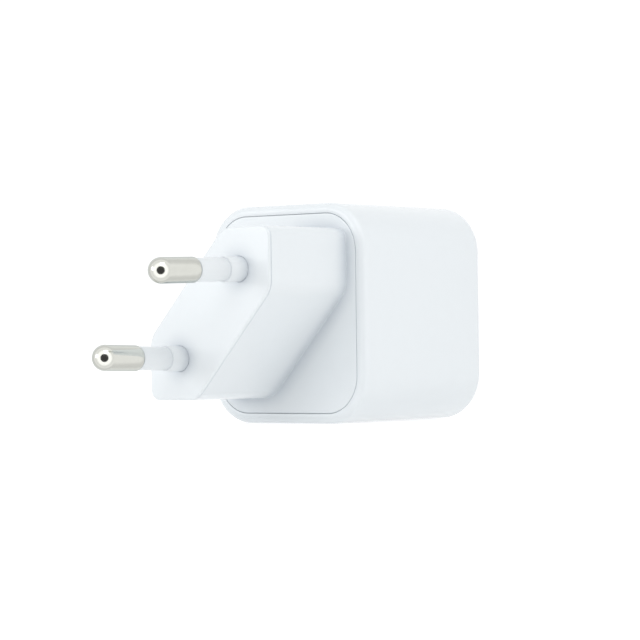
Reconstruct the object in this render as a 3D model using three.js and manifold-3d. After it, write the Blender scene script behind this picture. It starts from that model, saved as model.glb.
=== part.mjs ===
// A plug-in wall charger with one USB-C outlet and a fixed two-pin Europlug head.
// Millimetres. The pins point along -Y, the USB port faces +Y, and +Z is up as the charger lies on a table.
// Pieces are drawn from the centre of the engagement face, the plug face that meets the socket. The group
// then moves them so that the origin is the middle of the underside of the whole charger.
import * as THREE from "three";
import { mergeVertices } from "three/addons/utils/BufferGeometryUtils.js";
import Module from "manifold-3d";

const wasm = await Module();
wasm.setup();

// ---- Driving dimensions ----

// Body shell
const bodyWidth = 32.2;
const bodyHeight = 35;
const bodyDepth = 31;
const bodyCorner = 7.7;
const wall = 1.9;
const rearWall = 1.8;
const rimEdge = 1;
const rearEdge = 1.4;
const ribThickness = 1;
const ribReach = 1.5;

// Plug cover: the plate that closes the body, its skirt and the plug head
const rim = 1.6;
const seam = 0.25;
const plateThickness = 2;
const plateEdge = 0.35;
const skirtDepth = 3;
const skirtWall = 1.2;
const headWidth = 25.1;
const headHeight = 26.8;
const headThickness = 13.7;
const headAngle = 47.5; // degrees from X to the line through both pins
const headLength = 18.4;
const headCorner = 1.7;
const headBend = 4;
const headWall = 1.6;
const faceWall = 1.8;
const faceEdge = 0.45;

// Pins
const pinDiameter = 4;
const pinLength = 19;
const pinSpacing = 18.6;
const pinTipSpacing = 17.5;
const bareLength = 9;
const neckDiameter = 2.9;
const sleeveDiameter = 3.7;
const collarDiameter = 4;
const collarLength = 3.5;
const pinHoleGap = 0.18;
const flangeDiameter = 5.2;
const flangeThickness = 1.4;
const tailDiameter = 2.4;
const tailDepth = 12;

// Clearances
const mouldedGap = 0.1;
const slipGap = 0.2;
const boardGap = 0.35;
const solderGap = 0.15;
const partGap = 0.4;

// Pin carrier, its retainer and the two stakes that hold them
const carrierDepth = 5;
const retainerThickness = 2;
const stakeDiameter = 2;
const stakeSpacing = 6;
const stakeHeadDiameter = 3.4;
const stakeHeadThickness = 0.8;

// Boards and the heat path from the switch chip to the wall
const boardThickness = 1.2;
const portBoardThickness = 1;
const chipThickness = 0.85;
const padThickness = 0.5;
const spreaderThickness = 0.3;
const sheetThickness = 0.25;
const leadDiameter = 0.6;
const leadHoleDiameter = 1;
const tabWidth = 4;

// USB-C receptacle
const usbWidth = 8.94;
const usbHeight = 3.16;
const usbLength = 7.35;
const usbWall = 0.3;
const usbRecess = 0.4;
const usbBlockDepth = 2.2;
const tongueWidth = 6.69;
const tongueThickness = 0.7;
const tongueSetback = 1;
const portGap = 0.25;
const portChamfer = 0.4;

// ---- Places that follow from them ----

const plateBack = headLength + plateThickness;
const skirtEnd = plateBack + skirtDepth;
const bodyRear = headLength + bodyDepth;
const cavityRear = bodyRear - rearWall;
const cavityWidth = bodyWidth - 2 * wall;
const cavityHeight = bodyHeight - 2 * wall;
const cavityCorner = bodyCorner - wall;
const plugAngle = THREE.MathUtils.degToRad(headAngle);

const inputFront = skirtEnd + boardGap;
const inputBack = inputFront + boardThickness;
const mainFront = inputBack + boardGap;
const mainRear = cavityRear - boardGap;
const spreaderX = -cavityWidth / 2 + slipGap;
const padX = spreaderX + spreaderThickness + solderGap;
const chipX = padX + padThickness + solderGap;
const mainOuterX = chipX + chipThickness + solderGap;
const mainInnerX = mainOuterX + boardThickness;
const mainHalfHeight = cavityHalfHeight(mainOuterX) - boardGap;
const usbMouth = bodyRear - usbRecess;
const usbBack = usbMouth - usbLength;
const portBoardTop = -usbHeight / 2 - solderGap;
const portBoardBottom = portBoardTop - portBoardThickness;

// ---- Solids and shapes ----

const axisX = new THREE.Vector3(1, 0, 0);
const axisY = new THREE.Vector3(0, 1, 0);
const axisZ = new THREE.Vector3(0, 0, 1);

// A closed three.js geometry as a solid that can be joined and cut.
function solid(geometry) {
  const bare = geometry.index ? geometry.toNonIndexed() : geometry.clone();
  bare.deleteAttribute("normal");
  bare.deleteAttribute("uv");
  const merged = mergeVertices(bare, 1e-4);
  const vertProperties = new Float32Array(merged.attributes.position.array);
  const triVerts = new Uint32Array(merged.index.array);
  return new wasm.Manifold(new wasm.Mesh({ numProp: 3, vertProperties, triVerts }));
}

function geometryOf(body) {
  const mesh = body.getMesh();
  const geometry = new THREE.BufferGeometry();
  geometry.setAttribute("position", new THREE.BufferAttribute(mesh.vertProperties, mesh.numProp));
  geometry.setIndex(new THREE.BufferAttribute(mesh.triVerts, 1));
  geometry.computeVertexNormals();
  return geometry;
}

function join(...bodies) {
  return bodies.reduce((whole, body) => whole.add(body));
}

function cut(body, ...tools) {
  return tools.reduce((whole, tool) => whole.subtract(tool), body);
}

// A box from its lowest and highest corners.
function box(low, high) {
  const size = high.map((value, i) => value - low[i]);
  const geometry = new THREE.BoxGeometry(...size);
  geometry.translate(...low.map((value, i) => value + size[i] / 2));
  return solid(geometry);
}

// A cylinder along an axis, from one place on it to another, centred on the other two coordinates.
function rod(axis, diameter, from, to, centre, sides = 24) {
  const geometry = new THREE.CylinderGeometry(diameter / 2, diameter / 2, to - from, sides);
  if (axis === axisX) geometry.rotateZ(-Math.PI / 2);
  if (axis === axisZ) geometry.rotateX(Math.PI / 2);
  const place = centre.clone().addScaledVector(axis, (from + to) / 2);
  geometry.translate(place.x, place.y, place.z);
  return solid(geometry);
}

// A solid of revolution about Y from [radius, y] pairs.
function turned(profile, sides = 32) {
  const points = profile.map(([radius, y]) => new THREE.Vector2(radius, y));
  return solid(new THREE.LatheGeometry(points, sides));
}

function extruded(shape, depth, edge, curveSegments, basis) {
  const bevelled = edge > 0;
  const geometry = new THREE.ExtrudeGeometry(shape, {
    depth: bevelled ? depth - 2 * edge : depth,
    curveSegments,
    bevelEnabled: bevelled,
    bevelThickness: edge,
    bevelSize: edge,
    bevelOffset: -edge,
    bevelSegments: 3,
  });
  if (bevelled) geometry.translate(0, 0, edge);
  return geometry.applyMatrix4(basis);
}

// A shape drawn in X and Z, extruded along Y. edge rounds both ends.
function alongY(shape, from, to, edge = 0, curveSegments = 8) {
  const basis = new THREE.Matrix4().makeBasis(axisX, axisZ, axisY.clone().negate());
  return solid(extruded(shape, to - from, edge, curveSegments, basis).translate(0, to, 0));
}

// A shape drawn in Y and Z, extruded along X.
function alongX(shape, from, to, edge = 0, curveSegments = 8) {
  const basis = new THREE.Matrix4().makeBasis(axisY, axisZ, axisX);
  return solid(extruded(shape, to - from, edge, curveSegments, basis).translate(from, 0, 0));
}

// A shape drawn in X and Y, extruded along Z.
function alongZ(shape, from, to, edge = 0, curveSegments = 8) {
  const basis = new THREE.Matrix4();
  return solid(extruded(shape, to - from, edge, curveSegments, basis).translate(0, 0, from));
}

// A convex outline through the corners, each [x, y, radius], rounded with arcs.
function roundedPolygon(corners) {
  const shape = new THREE.Shape();
  const points = corners.map(([x, y]) => new THREE.Vector2(x, y));
  corners.forEach(([, , radius], i) => {
    const here = points[i];
    const before = points.at(i - 1).clone().sub(here).normalize();
    const after = points[(i + 1) % points.length].clone().sub(here).normalize();
    const halfAngle = Math.acos(before.dot(after)) / 2;
    const inward = before.clone().add(after).normalize();
    const centre = here.clone().addScaledVector(inward, radius / Math.sin(halfAngle));
    const start = here.clone().addScaledVector(before, radius / Math.tan(halfAngle)).sub(centre);
    const end = here.clone().addScaledVector(after, radius / Math.tan(halfAngle)).sub(centre);
    shape.absarc(centre.x, centre.y, radius, start.angle(), end.angle(), false);
  });
  return shape;
}

function roundedRectangle(width, height, radius, x = 0, y = 0) {
  const w = width / 2;
  const h = height / 2;
  return roundedPolygon([
    [x + w, y - h, radius],
    [x + w, y + h, radius],
    [x - w, y + h, radius],
    [x - w, y - h, radius],
  ]);
}

// The body's own outline moved inwards, and how high it still is at a given distance from the middle.
function bodyOutline(inset) {
  const shrink = 2 * inset;
  return roundedRectangle(bodyWidth - shrink, bodyHeight - shrink, bodyCorner - inset);
}

function cavityHalfHeight(x) {
  const past = Math.max(0, Math.abs(x) - (cavityWidth / 2 - cavityCorner));
  return cavityHeight / 2 - cavityCorner + Math.sqrt(cavityCorner ** 2 - past ** 2);
}

// The plug's six-sided outline: a band of headThickness along the pins' line, cut off by a rectangle.
function headOutline(inset) {
  const w = headWidth / 2 - inset;
  const h = headHeight / 2 - inset;
  const band = headThickness / 2 - inset;
  const sideZ = (Math.sin(plugAngle) * w - band) / Math.cos(plugAngle);
  const endX = (Math.cos(plugAngle) * h - band) / Math.sin(plugAngle);
  const sharp = Math.max(headCorner - inset, 0.3);
  const blunt = Math.max(headBend - inset, 0.3);
  return roundedPolygon([
    [w, sideZ, blunt],
    [w, h, sharp],
    [endX, h, blunt],
    [-w, -sideZ, blunt],
    [-w, -h, sharp],
    [-endX, -h, blunt],
  ]);
}

// ---- Pin frames: u runs from the plug's middle outwards to a pin ----

const pinAlong = new THREE.Vector3(Math.cos(plugAngle), 0, Math.sin(plugAngle));
const pinLean = Math.atan2((pinSpacing - pinTipSpacing) / 2, pinLength);
const pinSides = { upper: 1, lower: -1 };

// A frame whose X is outwards from the plug's middle, with its Y along the body.
function radialFrame(side, distance) {
  const outwards = pinAlong.clone().multiplyScalar(side);
  const across = outwards.clone().cross(axisY);
  const frame = new THREE.Matrix4().makeBasis(outwards, axisY, across);
  return frame.setPosition(outwards.multiplyScalar(distance));
}

// The same frame tilted so that the pin's tip leans towards the other pin.
function pinFrame(side) {
  const lean = new THREE.Matrix4().makeRotationZ(-pinLean);
  return radialFrame(side, pinSpacing / 2).multiply(lean);
}

function placed(body, frame) {
  return body.transform(frame.elements);
}

// ---- Materials ----

function material(color, roughness, metalness) {
  return new THREE.MeshStandardMaterial({ color, roughness, metalness });
}

const finishes = {
  shellPlastic: material(0xf4f6f7, 0.35, 0),
  sleevePlastic: material(0xf1f3f4, 0.45, 0),
  carrierPlastic: material(0xe6e6e2, 0.5, 0),
  nickel: material(0xd2d2cf, 0.15, 1),
  springBrass: material(0xc9a45c, 0.3, 1),
  board: material(0x1f5a3a, 0.5, 0),
  epoxy: material(0x1a1b1d, 0.6, 0),
  ferrite: material(0x3a3b3d, 0.7, 0),
  bobbinPlastic: material(0x25262a, 0.5, 0),
  windingTape: material(0xe2b93c, 0.4, 0),
  wire: material(0xa8552c, 0.35, 1),
  canAluminium: material(0x2c3136, 0.4, 0.3),
  filmCase: material(0xc9cdd0, 0.5, 0),
  disc: material(0x2f6fb5, 0.45, 0),
  fuseBody: material(0x7b5a3a, 0.5, 0),
  copperSheet: material(0xc07a4a, 0.3, 1),
  thermalPad: material(0x8e9499, 0.8, 0),
  film: material(0x26282b, 0.4, 0),
  steel: material(0xb9bcc0, 0.3, 1),
  contactPlastic: material(0x17181a, 0.5, 0),
  leadJacket: material(0xd6c24a, 0.45, 0),
};

const charger = new THREE.Group();

function addPart(name, body, finish) {
  const mesh = new THREE.Mesh(geometryOf(body), finishes[finish]);
  mesh.name = name;
  charger.add(mesh);
}

// ---- Body shell ----

function portOutline(grow) {
  const width = usbWidth + 2 * grow;
  const height = usbHeight + 2 * grow;
  return roundedRectangle(width, height, height / 2 - 0.01);
}

// A pair of ribs at the top and the bottom that hold the main board's long edges.
function boardRibs(outer) {
  const inner = mainHalfHeight - ribReach;
  const places = [mainOuterX - slipGap - ribThickness, mainInnerX + slipGap];
  const ribs = places.flatMap((x) => [
    box([x, mainFront, inner], [x + ribThickness, cavityRear + wall / 4, bodyHeight / 2]),
    box([x, mainFront, -bodyHeight / 2], [x + ribThickness, cavityRear + wall / 4, -inner]),
  ]);
  const within = alongY(bodyOutline(wall / 2), headLength, cavityRear + rearWall / 2);
  return join(...ribs).intersect(within).intersect(outer);
}

function housing() {
  const past = 3;
  const rounded = alongY(bodyOutline(0), headLength - past, bodyRear, rearEdge);
  const rimmed = alongY(bodyOutline(0), headLength, bodyRear + past, rimEdge);
  const outer = rounded.intersect(rimmed);
  const cavity = alongY(bodyOutline(wall), headLength - past, cavityRear);
  const seat = alongY(bodyOutline(rim), headLength - past, plateBack + slipGap);
  const port = alongY(portOutline(portGap), cavityRear - past, bodyRear + past);
  const lead = alongY(portOutline(portGap + 2 * portChamfer), bodyRear - portChamfer, bodyRear + past, portChamfer);
  return join(cut(outer, cavity, seat), boardRibs(outer)).subtract(port).subtract(lead);
}

addPart("housing", housing(), "shellPlastic");

// ---- Plug cover ----

const carrierFront = faceWall + solderGap;
const carrierBack = carrierFront + carrierDepth;
const retainerFront = carrierBack + solderGap;
const retainerBack = retainerFront + retainerThickness;
const stakePlaces = [stakeSpacing / 2, -stakeSpacing / 2];

function stakeRods(diameter, from, to) {
  return stakePlaces.map((u) => rod(axisY, diameter, from, to, pinAlong.clone().multiplyScalar(u), 16));
}

function pinHole(side, diameter, from, to) {
  const centre = new THREE.Vector3();
  return placed(rod(axisY, diameter, from, to, centre, 32), pinFrame(side));
}

function bothPinHoles(diameter, from, to) {
  return Object.values(pinSides).map((side) => pinHole(side, diameter, from, to));
}

function plugCover() {
  const plate = alongY(bodyOutline(rim + seam), headLength, plateBack);
  const softened = alongY(bodyOutline(rim + seam), headLength, plateBack + 2, plateEdge);
  const skirtOuter = alongY(bodyOutline(wall + slipGap), plateBack - 0.5, skirtEnd);
  const skirtInner = alongY(bodyOutline(wall + slipGap + skirtWall), plateBack, skirtEnd + 1);
  const head = alongY(headOutline(0), 0, plateBack, faceEdge, 6);
  const hollow = alongY(headOutline(headWall), faceWall, skirtEnd, 0, 6);
  const shell = join(plate.intersect(softened), skirtOuter.subtract(skirtInner), head);
  const stakes = stakeRods(stakeDiameter, faceWall - 0.5, retainerBack + solderGap + 0.1);
  const headFrom = retainerBack + solderGap;
  const stakeHeads = stakeRods(stakeHeadDiameter, headFrom, headFrom + stakeHeadThickness);
  const holes = bothPinHoles(collarDiameter + 2 * pinHoleGap, -1, faceWall + 1);
  return cut(join(cut(shell, hollow), ...stakes, ...stakeHeads), ...holes);
}

addPart("plug_cover", plugCover(), "shellPlastic");

// ---- Pins, sleeves, carrier and retainer ----

const sleeveFlangeFrom = carrierFront + 0.8;
const sleeveFlangeTo = sleeveFlangeFrom + 0.7;
const flangeFrom = sleeveFlangeTo + slipGap;
const flangeTo = flangeFrom + flangeThickness;
const pocketFrom = sleeveFlangeFrom - slipGap;

// The nickel-plated pin: round tip, neck inside the sleeve, flange in the carrier and tail.
function pinMetal() {
  const radius = pinDiameter / 2;
  const tip = [];
  const steps = 8;
  for (let i = 0; i <= steps; i += 1) {
    const angle = (Math.PI / 2) * (i / steps);
    tip.push([radius * Math.sin(angle), -pinLength + radius * (1 - Math.cos(angle))]);
  }
  tip[0][0] = 0;
  const neckFrom = bareLength - pinLength;
  return turned([
    ...tip,
    [radius, neckFrom],
    [neckDiameter / 2, neckFrom],
    [neckDiameter / 2, flangeFrom],
    [flangeDiameter / 2, flangeFrom],
    [flangeDiameter / 2, flangeTo],
    [tailDiameter / 2, flangeTo],
    [tailDiameter / 2, tailDepth],
    [0, tailDepth],
  ]);
}

// The insulating sleeve: thin over the pin's neck, a collar at its root and a flange in the carrier.
function pinSleeve() {
  const bore = neckDiameter / 2 + mouldedGap;
  const front = bareLength - pinLength + mouldedGap;
  return turned([
    [bore, front],
    [sleeveDiameter / 2, front],
    [sleeveDiameter / 2, -collarLength],
    [collarDiameter / 2, -collarLength],
    [collarDiameter / 2, sleeveFlangeFrom],
    [flangeDiameter / 2, sleeveFlangeFrom],
    [flangeDiameter / 2, sleeveFlangeTo],
    [bore, sleeveFlangeTo],
    [bore, front],
  ]);
}

for (const [name, side] of Object.entries(pinSides)) {
  addPart(name + "_pin", placed(pinMetal(), pinFrame(side)), "nickel");
  addPart(name + "_pin_sleeve", placed(pinSleeve(), pinFrame(side)), "sleevePlastic");
}

const pocketDiameter = flangeDiameter + 4 * pinHoleGap;

function pinCarrier() {
  const block = alongY(headOutline(headWall + slipGap), carrierFront, carrierBack, 0, 6);
  const bores = bothPinHoles(collarDiameter + 2 * pinHoleGap, 0, carrierBack + 1);
  const pockets = bothPinHoles(pocketDiameter, pocketFrom, carrierBack + 1);
  return cut(block, ...bores, ...pockets, ...stakeRods(stakeDiameter + 2 * slipGap, 0, carrierBack + 1));
}

addPart("pin_carrier", pinCarrier(), "carrierPlastic");

// Closes the carrier's pockets behind the pins' flanges.
function pinRetainer() {
  const plate = alongY(headOutline(headWall + slipGap), retainerFront, retainerBack, 0, 6);
  const plugs = bothPinHoles(pocketDiameter - 4 * slipGap, flangeTo + slipGap, retainerBack - 0.5);
  const tails = bothPinHoles(tailDiameter + 5 * slipGap, 0, retainerBack + 1);
  return cut(join(plate, ...plugs), ...tails, ...stakeRods(stakeDiameter + 2 * slipGap, 0, retainerBack + 1));
}

addPart("pin_retainer", pinRetainer(), "carrierPlastic");

// ---- Contact springs: a foot on the input board and an arm up to the pin's tail ----

const springThickness = 0.4;
const springWidth = 3;

// A bent strip from its centreline: the outline of the line thickened to both sides.
function stripShape(centreline, thickness) {
  const points = centreline.map(([x, y]) => new THREE.Vector2(x, y));
  const offsets = points.map((point, i) => {
    const before = points[Math.max(i - 1, 0)];
    const after = points[Math.min(i + 1, points.length - 1)];
    const inLine = i > 0 ? point.clone().sub(before).normalize() : after.clone().sub(point).normalize();
    const outLine = i < points.length - 1 ? after.clone().sub(point).normalize() : inLine;
    const normal = new THREE.Vector2(-inLine.y - outLine.y, inLine.x + outLine.x).normalize();
    return normal.multiplyScalar(thickness / 2 / Math.sqrt((1 + inLine.dot(outLine)) / 2));
  });
  const left = points.map((point, i) => point.clone().add(offsets[i]));
  const right = points.map((point, i) => point.clone().sub(offsets[i]));
  return new THREE.Shape([...right, ...left.reverse()]);
}

function contactSpring(side) {
  const foot = inputFront - solderGap - springThickness / 2;
  const top = tailDepth + slipGap + springThickness;
  const middle = (foot + top) / 2;
  const centreline = [
    [-2.2, foot],
    [1.4, foot],
    [1.9, foot - 0.5],
    [1.9, middle + 1],
    [-1.4, middle - 1.5],
    [-1.4, top + 0.9],
    [-0.9, top + 0.2],
    [0.9, top],
  ];
  const shape = stripShape(centreline, springThickness);
  const strip = alongZ(shape, -springWidth / 2, springWidth / 2);
  return placed(strip, radialFrame(side, pinSpacing / 2));
}

for (const [name, side] of Object.entries(pinSides)) {
  addPart(name + "_contact_spring", contactSpring(side), "springBrass");
}

// ---- Parts with leads: each kind is drawn standing at a place on its board ----

// Round leads through a board. Places are [first, second] coordinates in the board's own plane.
function leads(axis, places, from, to, diameter = leadDiameter) {
  return places.map((place) => rod(axis, diameter, from, to, place, 8));
}

const boardHoles = { input: [], main: [], port: [] };

function throughInput(places) {
  boardHoles.input.push(...leads(axisY, places, inputFront - 1, inputBack + 1, leadHoleDiameter));
  return leads(axisY, places, inputFront - 0.8, inputBack + 1);
}

function throughMain(places) {
  boardHoles.main.push(...leads(axisX, places, mainOuterX - 1, mainInnerX + 1, leadHoleDiameter));
  return leads(axisX, places, mainOuterX - 0.5, mainInnerX + 1);
}

function throughPort(places) {
  boardHoles.port.push(...leads(axisZ, places, portBoardBottom - 1, portBoardTop + 1, leadHoleDiameter));
  return leads(axisZ, places, portBoardBottom - 1, portBoardTop + 0.8);
}

const at = (x, y, z) => new THREE.Vector3(x, y, z);

// ---- Input board parts ----

const sheetInner = slipGap + sheetThickness + slipGap;
const filmWidth = 8.2;
const columnX = cavityWidth / 2 - sheetInner - mouldedGap - filmWidth / 2;
const inputSeat = inputBack + 0.4;

const chokeRadius = filmWidth / 2;
const chokeCoreInner = 1.9;
const chokeCoreHeight = 3.2;
const chokeWire = 0.7;
const chokeCoreOuter = chokeRadius - chokeWire;
const chokeZ = -cavityHeight / 2 + sheetInner + chokeRadius + 1.6;
const chokeMiddle = inputSeat + chokeWire + chokeCoreHeight / 2;

function ring(outer, inner, height) {
  const h = height / 2;
  return turned([[inner, -h], [outer, -h], [outer, h], [inner, h], [inner, -h]], 32);
}

function chokeCore() {
  return ring(chokeCoreOuter, chokeCoreInner, chokeCoreHeight).translate(columnX, chokeMiddle, chokeZ);
}

// One winding covers a sector of the ring core. side is 1 towards +Z and -1 towards -Z.
function chokeWinding(side) {
  const gap = solderGap;
  const outer = ring(chokeRadius, chokeCoreInner - chokeWire, chokeCoreHeight + 2 * chokeWire);
  const inner = ring(chokeCoreOuter + gap, chokeCoreInner - gap, chokeCoreHeight + 2 * gap);
  const reach = 2 * chokeRadius;
  const sector = new THREE.Shape();
  const opening = 0.35;
  sector.moveTo(0, side * 0.5);
  sector.lineTo(reach, side * (0.5 + reach * opening));
  sector.lineTo(reach, side * reach);
  sector.lineTo(-reach, side * reach);
  sector.lineTo(-reach, side * (0.5 + reach * opening));
  const wedge = alongY(sector, -chokeRadius, chokeRadius);
  const coil = outer.subtract(inner).intersect(wedge).translate(columnX, chokeMiddle, chokeZ);
  const places = [-1, 1].map((x) => at(columnX + x * 2.2, 0, chokeZ + side * 2.3));
  return join(coil, ...throughInput(places));
}

addPart("choke_core", chokeCore(), "ferrite");
addPart("choke_winding_upper", chokeWinding(1), "wire");
addPart("choke_winding_lower", chokeWinding(-1), "wire");

const filmHeight = 9.4;
const filmDepth = 9.5;
const filmZ = chokeZ + chokeRadius + 0.5 + filmHeight / 2;

function filterCapacitor() {
  const outline = roundedRectangle(filmWidth, filmHeight, 0.6, columnX, filmZ);
  const body = alongY(outline, inputSeat, inputSeat + filmDepth, 0.4, 3);
  const places = [-1, 1].map((z) => at(columnX, 0, filmZ + (z * (filmHeight - 3)) / 2));
  return join(body, ...throughInput(places));
}

addPart("filter_capacitor", filterCapacitor(), "filmCase");

const fuseDiameter = 3.4;
const fuseLength = 9;
const fuseX = cavityWidth / 2 - sheetInner - mouldedGap - 4.1;
const fuseZ = filmZ + filmHeight / 2 + 0.6 + fuseDiameter / 2;

function fuse() {
  const body = rod(axisY, fuseDiameter, inputSeat, inputSeat + fuseLength, at(fuseX, 0, fuseZ), 20);
  const places = [-1, 1].map((z) => at(fuseX, 0, fuseZ + z));
  return join(body, ...throughInput(places));
}

addPart("fuse", fuse(), "fuseBody");

// The bridge rectifier stands on the side of the input board that faces the plug.
const bridgeSize = [6.4, 1.6, 5];
const bridgeCentre = at(-cavityWidth / 4, inputFront - 0.3 - bridgeSize[1] / 2, cavityHeight / 4);

function chipBody(centre, size, legs) {
  const half = size.map((value) => value / 2);
  const { x, y, z } = centre;
  const body = box([x - half[0], y - half[1], z - half[2]], [x + half[0], y + half[1], z + half[2]]);
  return join(body, ...legs);
}

function bridgeRectifier() {
  const { x, z } = bridgeCentre;
  const from = inputFront - 1.1;
  const to = inputFront - solderGap;
  const legs = [-1, 1].flatMap((side) => [-1, 1].map((row) => {
    const edge = x + side * (bridgeSize[0] / 2 + 0.3);
    return box([edge - 0.5, from, z + row * 1.4 - 0.5], [edge + 0.5, to, z + row * 1.4 + 0.5]);
  }));
  return chipBody(bridgeCentre, bridgeSize, legs);
}

addPart("bridge_rectifier", bridgeRectifier(), "epoxy");

// ---- Main board parts ----

const columnSide = columnX - filmWidth / 2 - partGap;
const mainLength = mainRear - mainFront;
const optoSize = [2, 3.6, 4.4];
const optoInset = 0.5;
const canGap = 0.5;
const canInset = 0.6;
const canRearRoom = optoInset + optoSize[1] + 0.75;

// Two bulk cans in a row fill the main board's length up to the optocoupler, and reach to the input column.
const canDiameter = (mainLength - canInset - canGap - canRearRoom) / 2;
const canSeat = mainInnerX + 0.3;
const canLength = columnSide - canGap / 2 - canSeat;
const canPitch = canDiameter + canGap;
const canZ = mainHalfHeight - ribReach - partGap - canDiameter / 2;
const canFirstY = mainFront + canInset + canDiameter / 2;

// An electrolytic can: rolled groove above the bung, rounded shoulder at the far end.
function electrolytic(diameter, length) {
  const radius = diameter / 2;
  return turned([
    [0, 0],
    [radius - 0.4, 0],
    [radius, 0.4],
    [radius, 1.4],
    [radius - 0.4, 1.8],
    [radius, 2.2],
    [radius, length - 0.5],
    [radius - 0.5, length],
    [0, length],
  ], 28);
}

function bulkCapacitor(index) {
  const y = canFirstY + index * canPitch;
  const upright = new THREE.Matrix4().makeRotationZ(-Math.PI / 2).setPosition(canSeat, y, canZ);
  const can = placed(electrolytic(canDiameter, canLength), upright);
  const places = [-1.75, 1.75].map((z) => at(0, y, canZ + z));
  return join(can, ...throughMain(places));
}

addPart("bulk_capacitor_front", bulkCapacitor(0), "canAluminium");
addPart("bulk_capacitor_rear", bulkCapacitor(1), "canAluminium");

// The transformer fills the length before the port board, and stands nearly as tall as the cans are long.
const portBoardLength = 7.05;
const railWidth = 1.3;
const railInset = 0.5;
const railReach = slipGap + railWidth;
const coreWidth = mainLength - railInset - 2 * railReach - partGap - portBoardLength;
const coreSeat = mainInnerX + slipGap + ribThickness + slipGap;
const coreStack = columnSide - solderGap - coreSeat;
const coreHeight = 13.8;
const corePlate = 2.3;
const coreLeg = 1.8;
const corePost = Math.min(coreWidth / 2.2, coreHeight / 2.76);
const coreY = mainFront + railInset + railReach + coreWidth / 2;
const coreMiddle = coreSeat + coreStack / 2;
const windowHalf = coreHeight / 2 - coreLeg - slipGap;
const coreZ = -mainHalfHeight + ribReach + partGap + windowHalf;

// Half a ferrite core: a plate with two outer legs and a round middle post. side is -1 at the board.
function transformerCore(side) {
  const span = (from, to) => (side < 0 ? [coreMiddle - to, coreMiddle - from] : [coreMiddle + from, coreMiddle + to]);
  const block = ([x0, x1], z0, z1) =>
    box([x0, coreY - coreWidth / 2, coreZ + z0], [x1, coreY + coreWidth / 2, coreZ + z1]);
  const half = coreStack / 2;
  const joint = solderGap / 2;
  const plate = block(span(half - corePlate, half), -coreHeight / 2, coreHeight / 2);
  const lower = block(span(joint, half), -coreHeight / 2, -coreHeight / 2 + coreLeg);
  const upper = block(span(joint, half), coreHeight / 2 - coreLeg, coreHeight / 2);
  const [from, to] = span(joint, half - 0.5);
  return join(plate, lower, upper, rod(axisX, corePost, from, to, at(0, coreY, coreZ), 24));
}

addPart("transformer_core_base", transformerCore(-1), "ferrite");
addPart("transformer_core_top", transformerCore(1), "ferrite");

const spoolWall = 0.6;
const spoolFlange = 0.7;
const spoolHalf = coreStack / 2 - corePlate - slipGap;
const spoolBore = corePost / 2 + slipGap;
const spoolOuter = spoolBore + spoolWall;
const windingDiameter = Math.min(1.9 * corePost, 2 * (windowHalf - solderGap));

// The spool on the core's middle post, with a pin rail beside the core on either side.
function transformerBobbin() {
  const tube = rod(axisX, 2 * spoolOuter, coreMiddle - spoolHalf, coreMiddle + spoolHalf, at(0, coreY, coreZ), 24);
  const flangeHalfY = coreWidth / 2 + railReach;
  const flangeAt = (from, to, halfY) =>
    box([from, coreY - halfY, coreZ - windowHalf], [to, coreY + halfY, coreZ + windowHalf]);
  const base = flangeAt(coreMiddle - spoolHalf, coreMiddle - spoolHalf + spoolFlange, flangeHalfY);
  const top = flangeAt(coreMiddle + spoolHalf - spoolFlange, coreMiddle + spoolHalf, coreWidth / 2 - 0.2);
  const rails = [-1, 1].map((side) => {
    const near = coreY + side * (coreWidth / 2 + slipGap);
    const far = coreY + side * flangeHalfY;
    const [y0, y1] = [Math.min(near, far), Math.max(near, far)];
    return box([mainInnerX + 0.3, y0, coreZ - windowHalf], [coreMiddle - spoolHalf + 0.2, y1, coreZ + windowHalf]);
  });
  const railMiddle = coreWidth / 2 + slipGap + railWidth / 2;
  const places = [-1, 1].flatMap((side) => [-3.4, 0, 3.4].map((z) => at(0, coreY + side * railMiddle, coreZ + z)));
  const bore = rod(axisX, 2 * spoolBore, coreMiddle - coreStack, coreMiddle + coreStack, at(0, coreY, coreZ), 24);
  return join(join(tube, base, top, ...rails).subtract(bore), ...throughMain(places));
}

addPart("transformer_bobbin", transformerBobbin(), "bobbinPlastic");

function transformerWinding() {
  const from = coreMiddle - spoolHalf + spoolFlange + solderGap;
  const to = coreMiddle + spoolHalf - spoolFlange - solderGap;
  const outer = rod(axisX, windingDiameter, from, to, at(0, coreY, coreZ), 32);
  const inner = rod(axisX, 2 * (spoolOuter + solderGap), from - 1, to + 1, at(0, coreY, coreZ), 24);
  return outer.subtract(inner);
}

addPart("transformer_winding", transformerWinding(), "windingTape");

// Heat path: switch chip on the outer side of the main board, soft pad, copper sheet on the wall.
const heatY = coreY;
const heatZ = 0;

addPart("switch_chip", chipBody(at(chipX + chipThickness / 2, heatY, heatZ), [chipThickness, 8, 6], []), "epoxy");

function slabAt(x, thickness, y0, y1, halfHeight) {
  const outline = roundedRectangle(y1 - y0, 2 * halfHeight, 0.8, (y0 + y1) / 2, 0);
  return alongX(outline, x, x + thickness, 0, 3);
}

addPart("thermal_pad", slabAt(padX, padThickness, heatY - 5, heatY + 5, 4), "thermalPad");

const spreaderHalf = cavityHeight / 2 - cavityCorner - 0.8;

addPart("heat_spreader", slabAt(spreaderX, spreaderThickness, mainFront, mainRear, spreaderHalf), "copperSheet");

const discDiameter = 5.6;
const discThickness = 2.8;
const discY = mainRear - 1 - discThickness / 2;
const discX = mainInnerX + 0.5 + discDiameter / 2;
const discZ = discDiameter / 2 + 0.2;

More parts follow.
